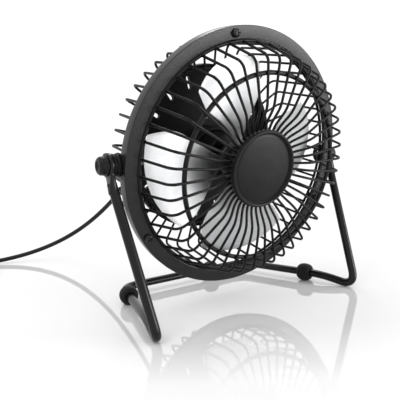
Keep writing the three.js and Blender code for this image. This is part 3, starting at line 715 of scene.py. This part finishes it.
def coil_path(step=6.0):
    """The lead's turns: in along the lower layer, up, and out along the upper one."""
    low, high = coil_layers
    outer, middle, inner = coil_radii
    turn = 360
    rise_start = 2 * turn + 220
    rise_end = rise_start + 90
    out_turn = coil_exit - coil_entry  # where in a turn the upper layer moves out
    stations = [
        (0, outer, lead_rest_z), (40, outer, low),
        (turn - coil_shift, outer, low), (turn, middle, low),
        (2 * turn - coil_shift, middle, low), (2 * turn, inner, low),
        (rise_start, inner, low), (rise_end, inner, high),
        (3 * turn + out_turn - coil_shift, inner, high), (3 * turn + out_turn, middle, high),
        (4 * turn + out_turn - coil_shift, middle, high), (4 * turn + out_turn, outer, high),
        (5 * turn + out_turn, outer, high),
    ]
    result = []
    for (start, r0, z0), (end, r1, z1) in zip(stations, stations[1:]):
        count = max(2, round((end - start) / step))
        for t in np.linspace(0, 1, count, endpoint=False):
            angle = math.radians(coil_entry + start + (end - start) * t)
            share = smooth_step(t)
            radius = r0 + (r1 - r0) * share
            result.append([
                coil_centre_x + radius * math.cos(angle),
                coil_centre_y + radius * math.sin(angle),
                z0 + (z1 - z0) * share,
            ])
    return np.array(result)


def tail_path():
    """From the coil's last turn, which leaves along -Y, down into the plug."""
    high = coil_layers[1]
    stations = [
        (coil_centre_y, high), (coil_centre_y - 9, high), (coil_centre_y - 16, high - 0.6),
        (plug_top + 7, plug_height + 0.2), (plug_top + 1.5, plug_height), (plug_top - 2, plug_height),
    ]
    return smooth_path([(plug_x, y, z) for y, z in stations])


fall_points = fall_path()
lead_points = np.vstack([fall_points, coil_path(), tail_path()])


def plug_section(outline, y):
    """An outline of the plug set upright across it at y."""
    return np.column_stack([outline[:, 0] + plug_x, np.full(len(outline), y), outline[:, 1] + plug_height])


def add_plug():
    """A small flat plug: a moulded grip with finger ribs, a folded metal shell and a contact tongue."""
    half_height = plug_height - 0.2
    grip = []
    for share, half_width, height_share, power in (
        (0, 2.4, 0.55, 2), (0.02, 2.7, 0.62, 2), (0.09, 3.4, 0.7, 2.2), (0.17, 5.4, 0.86, 2.8),
        (0.26, 7.2, 0.97, 3.6), (0.34, 7.6, 1, 4.5), (0.52, 7.2, 1, 5), (0.7, 7.5, 1, 5),
        (0.93, 7.8, 1, 5), (0.98, 7.7, 0.97, 4.5), (1, 7.2, 0.88, 4.5),
    ):
        outline = superellipse(half_width, half_height * height_share, power)
        grip.append(plug_section(outline, plug_top - plug_length * share))
    ribs = []
    for i in range(4):
        y = plug_top - plug_length * 0.5 - i * 2.2
        for side in (-1, 1):
            rib = block(0.8, 1, half_height * 1.3, 0.35)
            ribs.append(shifted(rib, plug_x + side * 7.3, y, plug_height))
    body_mesh = to_mesh("plug_grip", merged([loft(grip), *ribs]), sharp=50)
    body = add_piece("plug_grip", body_mesh, smooth_plastic, "stand",
                     ["usb_plug_body"], BASE)

    start = plug_top - plug_length + 1
    inside = superellipse(5.6, 1.85, 12)
    outside = superellipse(6, 2.25, 10)
    mouth = start - shell_length
    sections = [
        (inside, start), (outside, start), (outside, mouth - 0.9),
        (outside * 0.985, mouth - 1.15), (inside, mouth - 1.1),
    ]
    shell_shape = rings_to_shape([plug_section(*section) for section in sections], True, False)
    windows = [
        shifted(block(2.4, 2, 8), plug_x + side * 2.9, start - shell_length * 0.45, plug_height)
        for side in (-1, 1)
    ]
    shell_mesh = cut_mesh(to_mesh("plug_shell", shell_shape), windows)
    shell = add_piece("plug_shell", shell_mesh, plate_steel, "stand", ["usb_plug_shell"], BASE)

    tongue_low = mouth + 0.5
    tongue = shifted(block(10.4, 12, 1.7, 0.2), plug_x, tongue_low + 6, plug_height + 0.7)
    tongue_piece = add_piece("plug_tongue", tongue, smooth_plastic, "stand",
                             ["usb_plug_tongue"], BASE)
    contacts = merged([
        shifted(block(1, 8, 0.12, 0.04), plug_x + across, tongue_low + 4.5, plug_height - 0.18)
        for across in (-3.5, -1.1, 1.1, 3.5)
    ])
    contact_piece = add_piece("plug_contacts", contacts, contact_gold, "stand", matrix=BASE)
    return [body, shell, tongue_piece, contact_piece]


def add_tie():
    """A flat strap once round the turns, with its end through a buckle on top."""
    low = 0.35
    high = coil_layers[1] + cord_radius + 0.25
    inner = coil_radii[2] - cord_radius - 0.35
    outer = coil_radii[0] + cord_radius + 0.35
    loop = rounded([(inner, low), (outer, low), (outer, high), (inner, high)], 1.6, steps=6)
    middle = np.mean(loop, axis=0)
    rings = []
    for grow, side in ((0, -1), (tie_thickness, -1), (tie_thickness, 1), (0, 1)):
        ring = []
        for point in loop:
            out = (point - middle) / np.linalg.norm(point - middle) * grow
            ring.append([point[0] + out[0], side * tie_width / 2, point[1] + out[1]])
        rings.append(ring)
    along = [[ring[i] for ring in rings] for i in range(len(loop))]
    strap = rings_to_shape([np.array(section) for section in along], True, False)
    centre = (inner + outer) / 2
    top = high + tie_thickness
    buckle = shifted(block(4.5, tie_width + 1.6, 0.9, 0.3), centre, 0, top + 0.3)
    tongue = shifted(block(5, tie_width - 1, 0.5, 0.15), centre + 4, 0, top + 0.15)
    place = BASE @ Matrix.Translation(Vector((coil_centre_x, coil_centre_y, 0)) * MM)
    place = place @ Matrix.Rotation(math.radians(tie_angle), 4, "Z")
    return add_piece("lead_tie", to_mesh("lead_tie", merged([strap, buckle, tongue])), plastic, "stand",
                     ["cord_tie"], place)


def add_lead():
    mesh = to_mesh("lead", tube(lead_points, cord_radius, 20))
    lead = add_piece("lead", mesh, vinyl, "stand", matrix=BASE)
    lead.parent = None
    lead.matrix_world = BASE
    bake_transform(lead)
    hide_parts("power_cord", "cord_coil", "cord_tail")
    add_plug() + [add_tie()]


add_lead()

# ---------------------------------------------------------------- stand


def bent_rod_path(corners, bend, spacing=1.5):
    """Straight runs joined by bends that start one bend length from each corner."""
    p = [np.asarray(c, float) for c in corners]
    result = [p[0]]
    for before, corner, after in zip(p, p[1:], p[2:]):
        start = corner + (before - corner) / np.linalg.norm(before - corner) * bend
        end = corner + (after - corner) / np.linalg.norm(after - corner) * bend
        run = np.linalg.norm(start - result[-1])
        last = result[-1]
        for t in np.linspace(0, 1, max(2, round(run / (4 * spacing))), endpoint=False)[1:]:
            result.append(last + (start - last) * t)
        for t in np.linspace(0, 1, 13):
            result.append((1 - t) ** 2 * start + 2 * t * (1 - t) * corner + t ** 2 * end)
    last = result[-1]
    for t in np.linspace(0, 1, 8)[1:]:
        result.append(last + (p[-1] - last) * t)
    return result


rod_height = grommet_radius - foot_sink
corner_height = rod_radius - corner_drop
arm_top = pivot_height - eye_radius - 2.5
arm_lean = math.atan2(-front_corner_y, pivot_height)


def leg_point(side, share):
    return np.array([
        side * (front_corner_x + (rear_corner_x - front_corner_x) * share),
        front_corner_y + (rear_corner_y - front_corner_y) * share,
        rod_height,
    ])


def stand_eye(side):
    """The rod's end, forged flat round the pivot hole."""
    bottom = -(pivot_height - arm_top) / math.cos(arm_lean) - 5
    sections = []
    reach = eye_radius
    neck_stations = np.linspace(bottom, -reach * 0.55, 16)
    round_stations = reach * np.sin(np.linspace(-0.5, math.pi / 2 - 0.06, 22))
    stations = np.concatenate([neck_stations, round_stations])
    for s in stations:
        flat = smooth_step((s - bottom) / (-reach * 0.9 - bottom))
        half_thick = rod_radius + (eye_thickness / 2 - rod_radius) * flat
        round_part = math.sqrt(max(reach ** 2 - s ** 2, 0)) if s > -reach else 0
        neck = rod_radius + 0.9 * flat
        half_wide = max(round_part, neck) if s < 0 else round_part
        outline = superellipse(half_thick, max(half_wide, 0.2), 2 + 3.5 * flat, 28)
        sections.append(np.column_stack([outline[:, 0], outline[:, 1], np.full(len(outline), s)]))
    shape = loft(sections)
    bore = pivot_screw_radius + gap
    hole = turned([(bore, -6), (bore, 6), (0, 6), (0, -6)], 32)
    hole = moved(hole, Matrix.Rotation(math.pi / 2, 4, "Z"))
    place = Matrix.Translation((side * pivot_reach, 0, pivot_height)) @ Matrix.Rotation(-arm_lean, 4, "X")
    return moved(shape, place), moved(hole, place)


def add_stand():
    def half(side):
        top = np.array([side * pivot_reach, -(pivot_height - arm_top) * math.tan(arm_lean), arm_top])
        corner = np.array([side * front_corner_x, front_corner_y, corner_height])
        return [top, corner, leg_point(side, knee_share), leg_point(side, 1)]

    rod = tube(bent_rod_path([*half(-1), *reversed(half(1))], corner_bend), rod_radius, 28)
    eyes, holes = zip(*(stand_eye(side) for side in (-1, 1)))
    add_piece("stand_rod", rod, enamel, "stand", ["stand_frame"], BASE)
    for side, eye, hole in zip(("left", "right"), eyes, holes):
        add_piece(f"stand_eye_{side}", cut_mesh(to_mesh("stand_eye", eye), [hole]), enamel, "stand",
                  matrix=BASE)


def grommet_mesh(place, heading):
    """A barrel of rubber along a heading, worn flat where it stands on the table."""
    half = grommet_length / 2
    bore = rod_radius + 0.05
    swell = [
        (bore, -half), (grommet_radius - 1.9, -half), (grommet_radius - 0.5, -half * 0.72),
        (grommet_radius, -half * 0.2), (grommet_radius, half * 0.2), (grommet_radius - 0.5, half * 0.72),
        (grommet_radius - 1.9, half), (bore, half),
    ]
    turn = Matrix.Rotation(-math.atan2(heading[0], heading[1]), 4, "Z")
    shape = moved(ring_of(swell, 0.9, 64), Matrix.Translation(place) @ turn)
    shape[0][:, 2] = np.maximum(shape[0][:, 2], 0)
    return to_mesh("grommet", shape, sharp=55)


def add_grommets():
    for name, side, share in (("left", -1, 0.79), ("right", 1, 0.4)):
        place = leg_point(side, share)
        heading = leg_point(side, 1) - leg_point(side, 0)
        add_piece(f"foot_{name}", grommet_mesh(place, heading), rubber, "stand",
                  [f"foot_grommet_{name}"], BASE)
    low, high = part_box("foot_grommet_rear")
    middle = (low + high) / 2 / MM
    place = (middle.x, rear_corner_y, rod_height)
    add_piece("foot_rear", grommet_mesh(place, (1, 0)), rubber, "stand",
              ["foot_grommet_rear"], BASE)


add_stand()
add_grommets()

# ---------------------------------------------------------------- head: ring and guards
ring_face = -ring_depth / 2
screw_circle = ring_radius - sheet - (ring_width - sheet) * 0.45
tab_radius = ring_radius - sheet - 1.5 * gap - screw_circle
rim_radius = ring_radius - ring_width - gap - rim_wire / 2
front_tab = ring_face + sheet + gap
rear_tab = front_tab + tab_thickness + gap
front_rim_y = front_tab + tab_thickness / 2 - rim_wire / 2
rear_rim_y = rear_tab + tab_thickness / 2 + rim_wire / 2
face_wire_y = -front_reach + wire / 2
recess_wire_y = face_wire_y + step_depth
plate_rim_inner = plate_radius - cover_wall
rear_end_radius = plate_rim_inner - gap - rim_wire / 2
rear_end_y = plate_front - plate_rim_depth - gap - wire / 2


def guard_wires(outline, bend):
    """The same bent wire, spaced evenly round the axis, from (radius, y) corners."""
    path = [(r, y, 0) for r, y in rounded(outline, bend, steps=5, closed=False)]
    one = tube(path, wire / 2, 10)
    return [moved(one, around((i + 0.5) * 360 / wire_count)) for i in range(wire_count)]


def screw_tabs(low):
    """Eyes welded to a guard's rim, one for each flange screw."""
    bore = screw_radius + gap
    high = low + tab_thickness
    tabs = []
    for angle in screw_angles:
        eye = ring_of([(bore, low), (tab_radius, low), (tab_radius, high), (bore, high)], 0.15, 28)
        arm = block(screw_circle - rim_radius, tab_thickness, 1.3 * tab_radius, 0.15)
        arm = shifted(arm, (rim_radius - screw_circle) / 2 - tab_radius * 0.45, low + tab_thickness / 2)
        tabs += [moved(shifted(piece, screw_circle), around(angle)) for piece in (eye, arm)]
    return tabs


def add_guards():
    front = guard_wires([
        (rim_radius, front_rim_y),
        (front_shoulder_radius + shoulder_bevel * 0.3, face_wire_y + shoulder_bevel),
        (front_shoulder_radius - shoulder_bevel, face_wire_y), (step_outer_radius, face_wire_y),
        (step_inner_radius, recess_wire_y), (front_end_radius, recess_wire_y),
    ], wire_bend)
    face_ring_y = face_wire_y + wire / 2 + face_ring_wire / 2 - gap
    front += [
        hoop(rim_radius + 0.1, front_rim_y, rim_wire + 0.4),
        hoop(face_ring_radius, face_ring_y, face_ring_wire),
        hoop(front_end_radius, recess_wire_y, rim_wire),
        *screw_tabs(front_tab),
    ]
    rear = guard_wires([
        (rim_radius, rear_rim_y), (rear_shoulder_radius, rear_reach - shoulder_bevel),
        (rear_shoulder_radius - shoulder_bevel, rear_reach), (rear_end_radius, rear_end_y),
    ], wire_bend)
    rear += [
        hoop(rim_radius, rear_rim_y, rim_wire),
        hoop(rear_end_radius, rear_end_y + wire / 2, rim_wire),
        *screw_tabs(rear_tab),
    ]
    for name, shapes, node in (("guard_front", front, "front_guard"), ("guard_rear", rear, "rear_guard")):
        mesh = to_mesh(name, merged(shapes), sharp=60)
        add_piece(name, mesh, wire_enamel, "head", [node])


def add_ring():
    """Pressed sheet: a flat flange in front and a wall that runs back from it, with a rolled edge."""
    rolled_edge = 0.35
    section = [
        (ring_radius - ring_width, ring_face), (ring_radius, ring_face),
        (ring_radius, -ring_face), (ring_radius - sheet, -ring_face),
        (ring_radius - sheet, ring_face + sheet), (ring_radius - ring_width, ring_face + sheet),
    ]
    add_piece("flange_ring", ring_of(section, rolled_edge, 240), ring_paint, "head",
              ["ring_frame"])
    bore = pivot_screw_radius + gap
    pin = turned([(0, -4), (bore, -4), (bore, 4), (0, 4)], 24)
    for side, hand in ((-1, "left"), (1, "right")):
        across = Matrix.Translation((side * ring_radius, 0, 0)) @ Matrix.Rotation(math.pi / 2, 4, "Z")
        hole = moved(pin, across @ Matrix.Translation((pivot_back, 0, 0)))
        ear = shifted(ear_shape(), side * (ring_radius - sheet / 2))
        mesh = cut_mesh(to_mesh("pivot_ear", ear), [hole])
        add_piece(f"pivot_ear_{hand}", mesh, ring_paint, "head")


def ear_shape():
    """A flat ear that runs back from the ring's wall, round at its end."""
    reach = lug_width / 2
    outline = [(0.4, -reach), (0.4, reach)]
    outline += [(pivot_back + reach * math.sin(t), reach * math.cos(t)) for t in np.linspace(0, math.pi, 17)]
    outline = rounded(outline, 0.2, steps=1)
    half = sheet / 2
    return loft([[(x, y, z) for y, z in outline] for x in (-half, half)])


# ---------------------------------------------------------------- screws and nuts
def cross_slot(face, length, width=0.6, depth=1.0):
    return [moved(shifted(block(length, 2 * depth, width), 0, face), Matrix.Rotation(turn, 4, "Y"))
            for turn in (0, math.pi / 2)]


def screw_mesh(name, profile, slot_face, slot_length):
    """A turned screw with a cross recess in its head."""
    return cut_mesh(to_mesh(name, solid_of(profile, 0.45, 40)), cross_slot(slot_face, slot_length))


def nut_mesh(low, across, height, bore):
    corner = across / math.sqrt(3)
    hexagon = turned([(0, low), (corner, low), (corner, low + height), (0, low + height)], 6)
    hole = turned([(0, low - 1), (bore, low - 1), (bore, low + height + 1), (0, low + height + 1)], 32)
    return cut_mesh(to_mesh("nut", hexagon, sharp=25), [hole], sharp=25)


def add_fasteners():
    screw_bite = 1.6  # how far a motor screw goes into the motor
    under = ring_face - gap
    top = under - screw_head_height
    tip = rear_tab + tab_thickness + gap + nut_height + 0.8
    flange_screw = screw_mesh("flange_screw", [
        (0, top), (screw_head_radius * 0.72, top + 0.1), (screw_head_radius, under - screw_head_height * 0.4),
        (screw_head_radius, under + gap), (screw_radius, under + gap), (screw_radius, tip), (0, tip),
    ], top, screw_head_radius * 1.2)
    flange_nut = nut_mesh(rear_tab + tab_thickness + gap * 0.1, nut_across, nut_height, screw_radius)
    for i, angle in enumerate(screw_angles):
        place = HEAD @ around(angle) @ Matrix.Translation((screw_circle * MM, 0, 0))
        add_piece(f"flange_bolt_{i + 1}", flange_screw.copy(), ring_paint, "head",
                  [f"flange_screw_{i + 1}"], place)
        add_piece(f"flange_hex_{i + 1}", flange_nut.copy(), plate_steel, "head",
                  [f"flange_nut_{i + 1}"], place)

    def rear_screw(seat, length):
        return screw_mesh("rear_screw", [
            (0, seat - length), (screw_radius, seat - length), (screw_radius, seat - gap),
            (screw_head_radius - 0.4, seat - gap), (screw_head_radius - 0.4, seat + 0.7),
            (screw_head_radius * 0.6, seat + 1.45), (0, seat + 1.5),
        ], seat + 1.5, screw_head_radius)

    for side, hand, level in ((-1, "left", "lower"), (1, "right", "upper")):
        motor = rear_screw(plate_rear + gap, plate_thickness + gap + screw_bite)
        add_piece(f"motor_bolt_{hand}", motor, plate_steel, "head", [f"motor_screw_{hand}"],
                  on_head(x=side * motor_screw_reach))
        cover = rear_screw(cover_rear + gap, cover_depth + plate_thickness + 1)
        add_piece(f"cover_bolt_{level}", cover, plate_steel, "head", [f"cover_screw_{level}"],
                  on_head(z=side * cover_screw_reach))


# ---------------------------------------------------------------- badge
def add_badge():
    back = recess_wire_y - wire / 2 - gap * 0.2
    front = recess_wire_y - wire / 2 - badge_proud
    dome = 0.9
    inner = badge_radius - badge_rim
    profile = [
        (0, front + dome - 0.75), (inner * 0.35, front + dome - 0.68), (inner * 0.7, front + dome - 0.35),
        (inner - 1.4, front + dome + 0.05), (inner - 0.3, front + dome + 0.55),
        (inner + 0.1, front + 0.35), (inner + 0.7, front), (badge_radius - 0.5, front + 0.05),
        (badge_radius, front + 0.7), (badge_radius, back), (bearing_radius + 1, back),
        (bearing_radius + 1, recess_wire_y + wire / 2), (0, recess_wire_y + wire / 2),
    ]
    add_piece("badge", to_mesh("badge", solid_of(profile, 0.5, 160)), badge_paint, "head",
              ["badge_disc"])


# ---------------------------------------------------------------- rotor and motor
def blade(angle, along=26, across=26):
    """One pressed blade: wide and round-cornered at the tip, twisted from its root."""
    root = blade_disc_radius - 2.5
    span = math.radians(blade_span) / 2
    sides = []
    for face in (-0.5, 0.5):
        grid = []
        for u in np.linspace(0, 1, along):
            swell = math.sin(min(u * 1.45, 1) * math.pi / 2)
            widen = blade_root_share + (1 - blade_root_share) * swell
            tip = max(0, u - blade_taper_start) / (1 - blade_taper_start)
            half = span * widen * (1 - blade_taper * tip)
            for v in np.sin(np.linspace(-math.pi / 2, math.pi / 2, across)):
                drop = blade_tip_drop * (v + blade_tip_lead) ** 2 * u
                radius = root + (blade_tip_radius - root) * u * (1 - drop)
                turn = half * v + math.radians(blade_sweep) * u
                rise = math.tan(math.radians(blade_pitch)) * v * min(u * 2.4, 1) * (6 + 10 * u)
                rim = max(0, abs(v) - 0.97) / 0.03
                thin = 1 - 0.45 * max(rim, max(0, (u - 0.985) / 0.015))
                y = blade_plane - rise * 0.8 + face * blade_thickness * thin
                grid.append([radius * math.cos(turn), y, radius * math.sin(turn)])
        sides.append(np.array(grid))
    count = along * across
    faces = []
    for i in range(along - 1):
        for j in range(across - 1):
            a = i * across + j
            quad = [a, a + 1, a + across + 1, a + across]
            faces += [quad, [count + k for k in reversed(quad)]]
    border = [i * across for i in range(along)]
    border += [(along - 1) * across + j for j in range(1, across)]
    border += [i * across + across - 1 for i in range(along - 2, -1, -1)]
    border += list(range(across - 2, 0, -1))
    faces += [[a, b, b + count, a + count] for a, b in zip(border, border[1:] + border[:1])]
    return moved((np.vstack(sides), faces), around(angle))


def add_rotor():
    blades = [blade(first_blade + i * 360 / blade_count) for i in range(blade_count)]
    low = blade_plane - blade_thickness / 2
    high = low + blade_thickness
    edge = blade_disc_radius
    disc = ring_of([(hub_neck, low), (edge, low), (edge, high), (hub_neck, high)], 0.15)
    add_piece("blades", to_mesh("blades", merged([disc, *blades]), sharp=50), aluminium, "rotor",
              ["fan_blades"])
    bore = shaft_radius + 0.05
    hub = ring_of([
        (bore, hub_front + 2.6), (hub_neck, hub_front + 2.6), (hub_neck, blade_plane + 0.5),
        (hub_radius, blade_plane + 0.5), (hub_radius, hub_rear), (bore, hub_rear),
    ], 0.4)
    add_piece("hub", hub, plastic, "rotor", ["rotor_hub"])
    seat = blade_plane - blade_thickness / 2 - 0.05
    nose = hub_front - 2.4
    cap = solid_of([
        (0, nose), (hub_neck, nose + 0.35), (hub_radius - 1.6, nose + 1.6), (hub_radius - 0.2, nose + 4),
        (hub_radius, seat), (hub_neck + gap, seat), (hub_neck + gap, nose + 3.4), (0, nose + 3.4),
    ], 1.4)
    add_piece("hub_nose", cap, smooth_plastic, "rotor", ["hub_cap"])
    wall = 0.9
    boss = bearing_radius + 1
    can = ring_of([
        (shaft_radius + gap, can_front - 2.2), (boss, can_front - 2.2), (boss, can_front),
        (can_radius, can_front), (can_radius, can_rear), (can_radius - wall, can_rear),
        (can_radius - wall, can_front + wall), (bearing_radius + gap, can_front + wall),
        (bearing_radius + gap, can_front - 1.4), (shaft_radius + gap, can_front - 1.4),
    ], 0.7)
    add_piece("motor_shell", can, wire_enamel, "head", ["motor_can"])


# ---------------------------------------------------------------- rear housing, switch and lead outlet
plate_rear = plate_front + plate_thickness
cover_front = plate_rear + gap
cover_rear = cover_front + cover_depth


def capsule(length, width, depth):
    """A slot cutter with round ends, along X, cut through along Y."""
    outline = []
    for side in (1, -1):
        for t in np.linspace(-math.pi / 2, math.pi / 2, 9):
            reach = (length - width) / 2 + width / 2 * math.cos(t)
            outline.append([side * reach, side * width / 2 * math.sin(t)])
    return loft([[(x, y, z) for x, z in outline] for y in (-depth / 2, depth / 2)])


def add_housing():
    """The slotted plate with a sleeve round the motor, and the cover on its back."""
    inner = can_radius + gap
    outer = inner + cover_wall
    sleeve_end = can_rear - 9
    rim_end = plate_front - plate_rim_depth
    profile = [
        (0, plate_front), (inner, plate_front),
        (inner, sleeve_end), (outer, sleeve_end), (outer, plate_front),
        (plate_rim_inner, plate_front), (plate_rim_inner, rim_end),
        (plate_radius, rim_end), (plate_radius, plate_rear), (0, plate_rear),
    ]
    slot = capsule(slot_outer - slot_inner, slot_width, 8)
    slot = shifted(slot, (slot_outer + slot_inner) / 2, plate_front)
    slots = [moved(slot, around((i + 0.5) * 360 / slot_count)) for i in range(slot_count)]
    mesh = cut_mesh(to_mesh("housing_plate", solid_of(profile, 0.6, 144)), slots)
    add_piece("housing_plate", mesh, plastic, "head", ["rear_housing"])

    well_radius = screw_head_radius + 0.4
    shell = solid_of([
        (0, cover_rear), (cover_radius - 2.6, cover_rear), (cover_radius - 0.5, cover_rear - 1),
        (cover_radius, cover_rear - 3), (cover_radius, cover_front), (cover_radius - cover_wall, cover_front),
        (cover_radius - cover_wall, cover_rear - cover_wall - 0.8), (0, cover_rear - cover_wall),
    ], 1.2, 144)
    opening = shifted(block(switch_width + gap, 8, switch_height + gap), switch_across, cover_rear, switch_up)
    outlet = turned([(0, -5), (gland_hole, -5), (gland_hole, 3), (0, 3)], 40)
    outlet = shifted(outlet, gland_across, cover_rear, gland_up)
    well = turned([(0, -0.9), (well_radius, -0.9), (well_radius, 3), (0, 3)], 40)
    wells = [shifted(well, 0, cover_rear, side * cover_screw_reach) for side in (-1, 1)]
    cover = cut_mesh(to_mesh("motor_cover", shell), [opening, outlet, *wells])
    add_piece("motor_cover", cover, plastic, "head", ["rear_cover"])


def add_switch():
    """A rocker in its bezel, marked with a bar for on and a ring for off."""
    lip = shifted(block(switch_width + 2.4, 1, switch_height + 2.4, 0.35), 0, cover_rear + 0.5)
    tub = shifted(block(switch_width, 6, switch_height), 0, cover_rear - 2.6)
    well = shifted(block(switch_width - 2, 9, switch_height - 2), 0, cover_rear)
    place = on_head(x=switch_across, z=switch_up)
    bezel = merged([lip, tub])
    add_piece("switch_frame", cut_mesh(to_mesh("switch_frame", bezel), [well]), smooth_plastic, "head",
              ["switch_bezel"], place)
    half = switch_height / 2 - 1.7
    width = switch_width - 2.6
    side_view = rounded([(-2.2, -half + 0.6), (-2.2, half - 0.6), (2.6, half), (1.3, 0.6), (1.9, -half)], 0.5)
    centre = cover_rear - 0.6
    sections = []
    for x, shrink in ((-width / 2, 0.94), (-width / 2 + 0.25, 1), (width / 2 - 0.25, 1), (width / 2, 0.94)):
        sections.append([(x, centre + y * shrink, z * shrink) for y, z in side_view])
    rocker = loft(sections)
    add_piece("rocker", to_mesh("rocker", rocker, sharp=50), smooth_plastic, "rocker",
              ["switch_rocker"], place)
    bar = shifted(block(0.45, 0.16, 1.9, 0.05), 0, centre + 2.0, half * 0.55)
    circle = moved(hoop(0.75, 0, 0.28, 40, 8), Matrix.Translation((0, centre + 1.68, -half * 0.55)))
    add_piece("rocker_marks", to_mesh("rocker_marks", merged([bar, circle])), mark_paint, "rocker",
              matrix=place)


def add_strain_relief():
    """Ribbed rubber boot that tapers from the cover to the lead."""
    bore = cord_radius + 0.06
    start = cover_rear + gap * 0.2
    ribs = 5
    profile = [(bore, start - 4.5), (gland_hole - 0.05, start - 4.5), (gland_hole - 0.05, start),
               (4.6, start), (4.6, start + 1.6), (3.9, start + 2.2)]
    pitch = (gland_length - 3.4) / ribs
    for i in range(ribs):
        radius = 3.75 - i * 0.27
        low = start + 2.4 + i * pitch
        profile += [(radius - 0.75, low + pitch * 0.12), (radius - 0.75, low + pitch * 0.3),
                    (radius, low + pitch * 0.45), (radius - 0.05, low + pitch * 0.85)]
    profile += [(bore + 0.45, start + gland_length), (bore, start + gland_length)]
    add_piece("lead_boot", to_mesh("lead_boot", ring_of(profile, 0.35, 48)), rubber, "head",
              ["strain_relief"], on_head(x=gland_across, z=gland_up))


# ---------------------------------------------------------------- pivots
def add_pivots():
    bush_inner = ring_radius + 0.05
    bush_outer = pivot_reach - eye_thickness / 2 - 0.05
    cap_start = pivot_reach + eye_thickness / 2 + 0.05
    end = cap_start + cap_length
    bore = pivot_screw_radius + gap
    spool = ring_of([
        (bore, bush_inner), (bush_radius, bush_inner), (bush_radius, bush_inner + 1.2),
        (bush_radius - 0.5, bush_inner + 1.7), (bush_radius - 0.5, bush_outer - 1.7),
        (bush_radius, bush_outer - 1.2), (bush_radius, bush_outer), (bore, bush_outer),
    ], 0.4, 64)
    cap = ring_of([
        (bore, cap_start), (cap_radius + 0.5, cap_start), (cap_radius + 0.5, cap_start + 0.7),
        (cap_radius, cap_start + 1), (cap_radius - 0.15, end - 1.1), (cap_radius - 1.1, end - 0.1),
        (cap_radius - 2.3, end), (cap_radius - 2.6, end - 0.7),
        (0.4, end - 0.8), (0.4, end - 1.2), (bore, end - 1.2),
    ], 0.5, 64)
    for side, hand in ((-1, "left"), (1, "right")):
        place = PIVOTS @ Matrix.Rotation(-side * math.pi / 2, 4, "Z")
        add_piece(f"pivot_spool_{hand}", to_mesh("pivot_spool", spool), plastic, "head",
                  [f"pivot_bush_{hand}"], place)
        add_piece(f"pivot_cap_{hand}", to_mesh("pivot_cap", cap), smooth_plastic, "head",
                  [f"cap_nut_{hand}"], place)


add_guards()
add_ring()
add_fasteners()
add_badge()
add_rotor()
add_housing()
add_switch()
add_strain_relief()
add_pivots()

# ---------------------------------------------------------------- CAD pieces that stay as they are
for node, finish in {
    "badge_back_plate": plate_steel, "badge_screw": plate_steel,
    "motor_shaft": steel, "motor_armature": steel,
    "motor_end_cap": plastic, "bearing_front": bronze, "bearing_rear": bronze,
    "pivot_screw_left": plate_steel, "pivot_screw_right": plate_steel,
}.items():
    kept = frame["nodes"][node]
    kept.data.materials.clear()
    kept.data.materials.append(finish)

# ---------------------------------------------------------------- floor, backdrop and light


def add_stage():
    """A wide white floor, glossy under the fan and dull in front of it."""
    dull_heading = (-0.55, -0.835, 0)  # towards the camera
    dull_reach = (0.05, 0.105)  # metres along it, over which the gloss fades
    f = Finish("white_floor", IOR=2.4)
    haze = f.noise(3.5, 3)
    ahead = f.node("ShaderNodeVectorMath", operation="DOT_PRODUCT")
    ahead.inputs[1].default_value = dull_heading
    f.link(f.coordinates, ahead.inputs[0])
    dull = f.spread(ahead.outputs["Value"], 0, 1, *dull_reach)
    polished = f.colours(haze, (0.3, (0.735, 0.735, 0.738)), (0.7, (0.75, 0.75, 0.75)))
    f.paint(f.blend(dull, polished, (0.87, 0.87, 0.87)), f.spread(haze, 0.03, 0.045))
    f.link(f.spread(dull, 0.5, 0.06, 0, 1), f.shader.inputs["Specular IOR Level"])
    half = 40
    mesh = bpy.data.meshes.new("floor")
    corners = [(-half, -half, 0), (half, -half, 0), (half, half, 0), (-half, half, 0)]
    mesh.from_pydata(corners, [], [(0, 1, 2, 3)])
    mesh.materials.append(f.material)
    floor = bpy.data.objects.new("floor", mesh)
    floor.location.z = -0.0001  # just under the feet
    bpy.context.scene.collection.objects.link(floor)


def add_softbox(name, place, target, size, radiance):
    """A rectangular lamp whose face has the given brightness, where the white surroundings have 1."""
    data = bpy.data.lights.new(name, "AREA")
    data.shape = "RECTANGLE"
    data.size, data.size_y = size
    data.energy = radiance * math.pi * size[0] * size[1]
    lamp = bpy.data.objects.new(name, data)
    aim = (Vector(target) - Vector(place)).to_track_quat("-Z", "Y")
    lamp.matrix_world = Matrix.Translation(place) @ aim.to_matrix().to_4x4()
    bpy.context.scene.collection.objects.link(lamp)


def add_light():
    world = bpy.data.worlds.new("studio")
    world.use_nodes = True
    background = world.node_tree.nodes["Background"]
    background.inputs["Color"].default_value = (1, 1, 1, 1)
    background.inputs["Strength"].default_value = 1.1
    bpy.context.scene.world = world
    middle = (0, 0, 0.07)
    add_softbox("front", (0.75, -0.98, 0.22), middle, (0.7, 0.42), 8)
    add_softbox("key", (-0.7, -0.2, 0.9), middle, (0.25, 0.5), 5)
    add_softbox("rim", (0.5, 0.8, 1.3), middle, (0.3, 0.6), 6)
    bpy.context.scene.view_settings.view_transform = "Standard"


add_stage()
add_light()
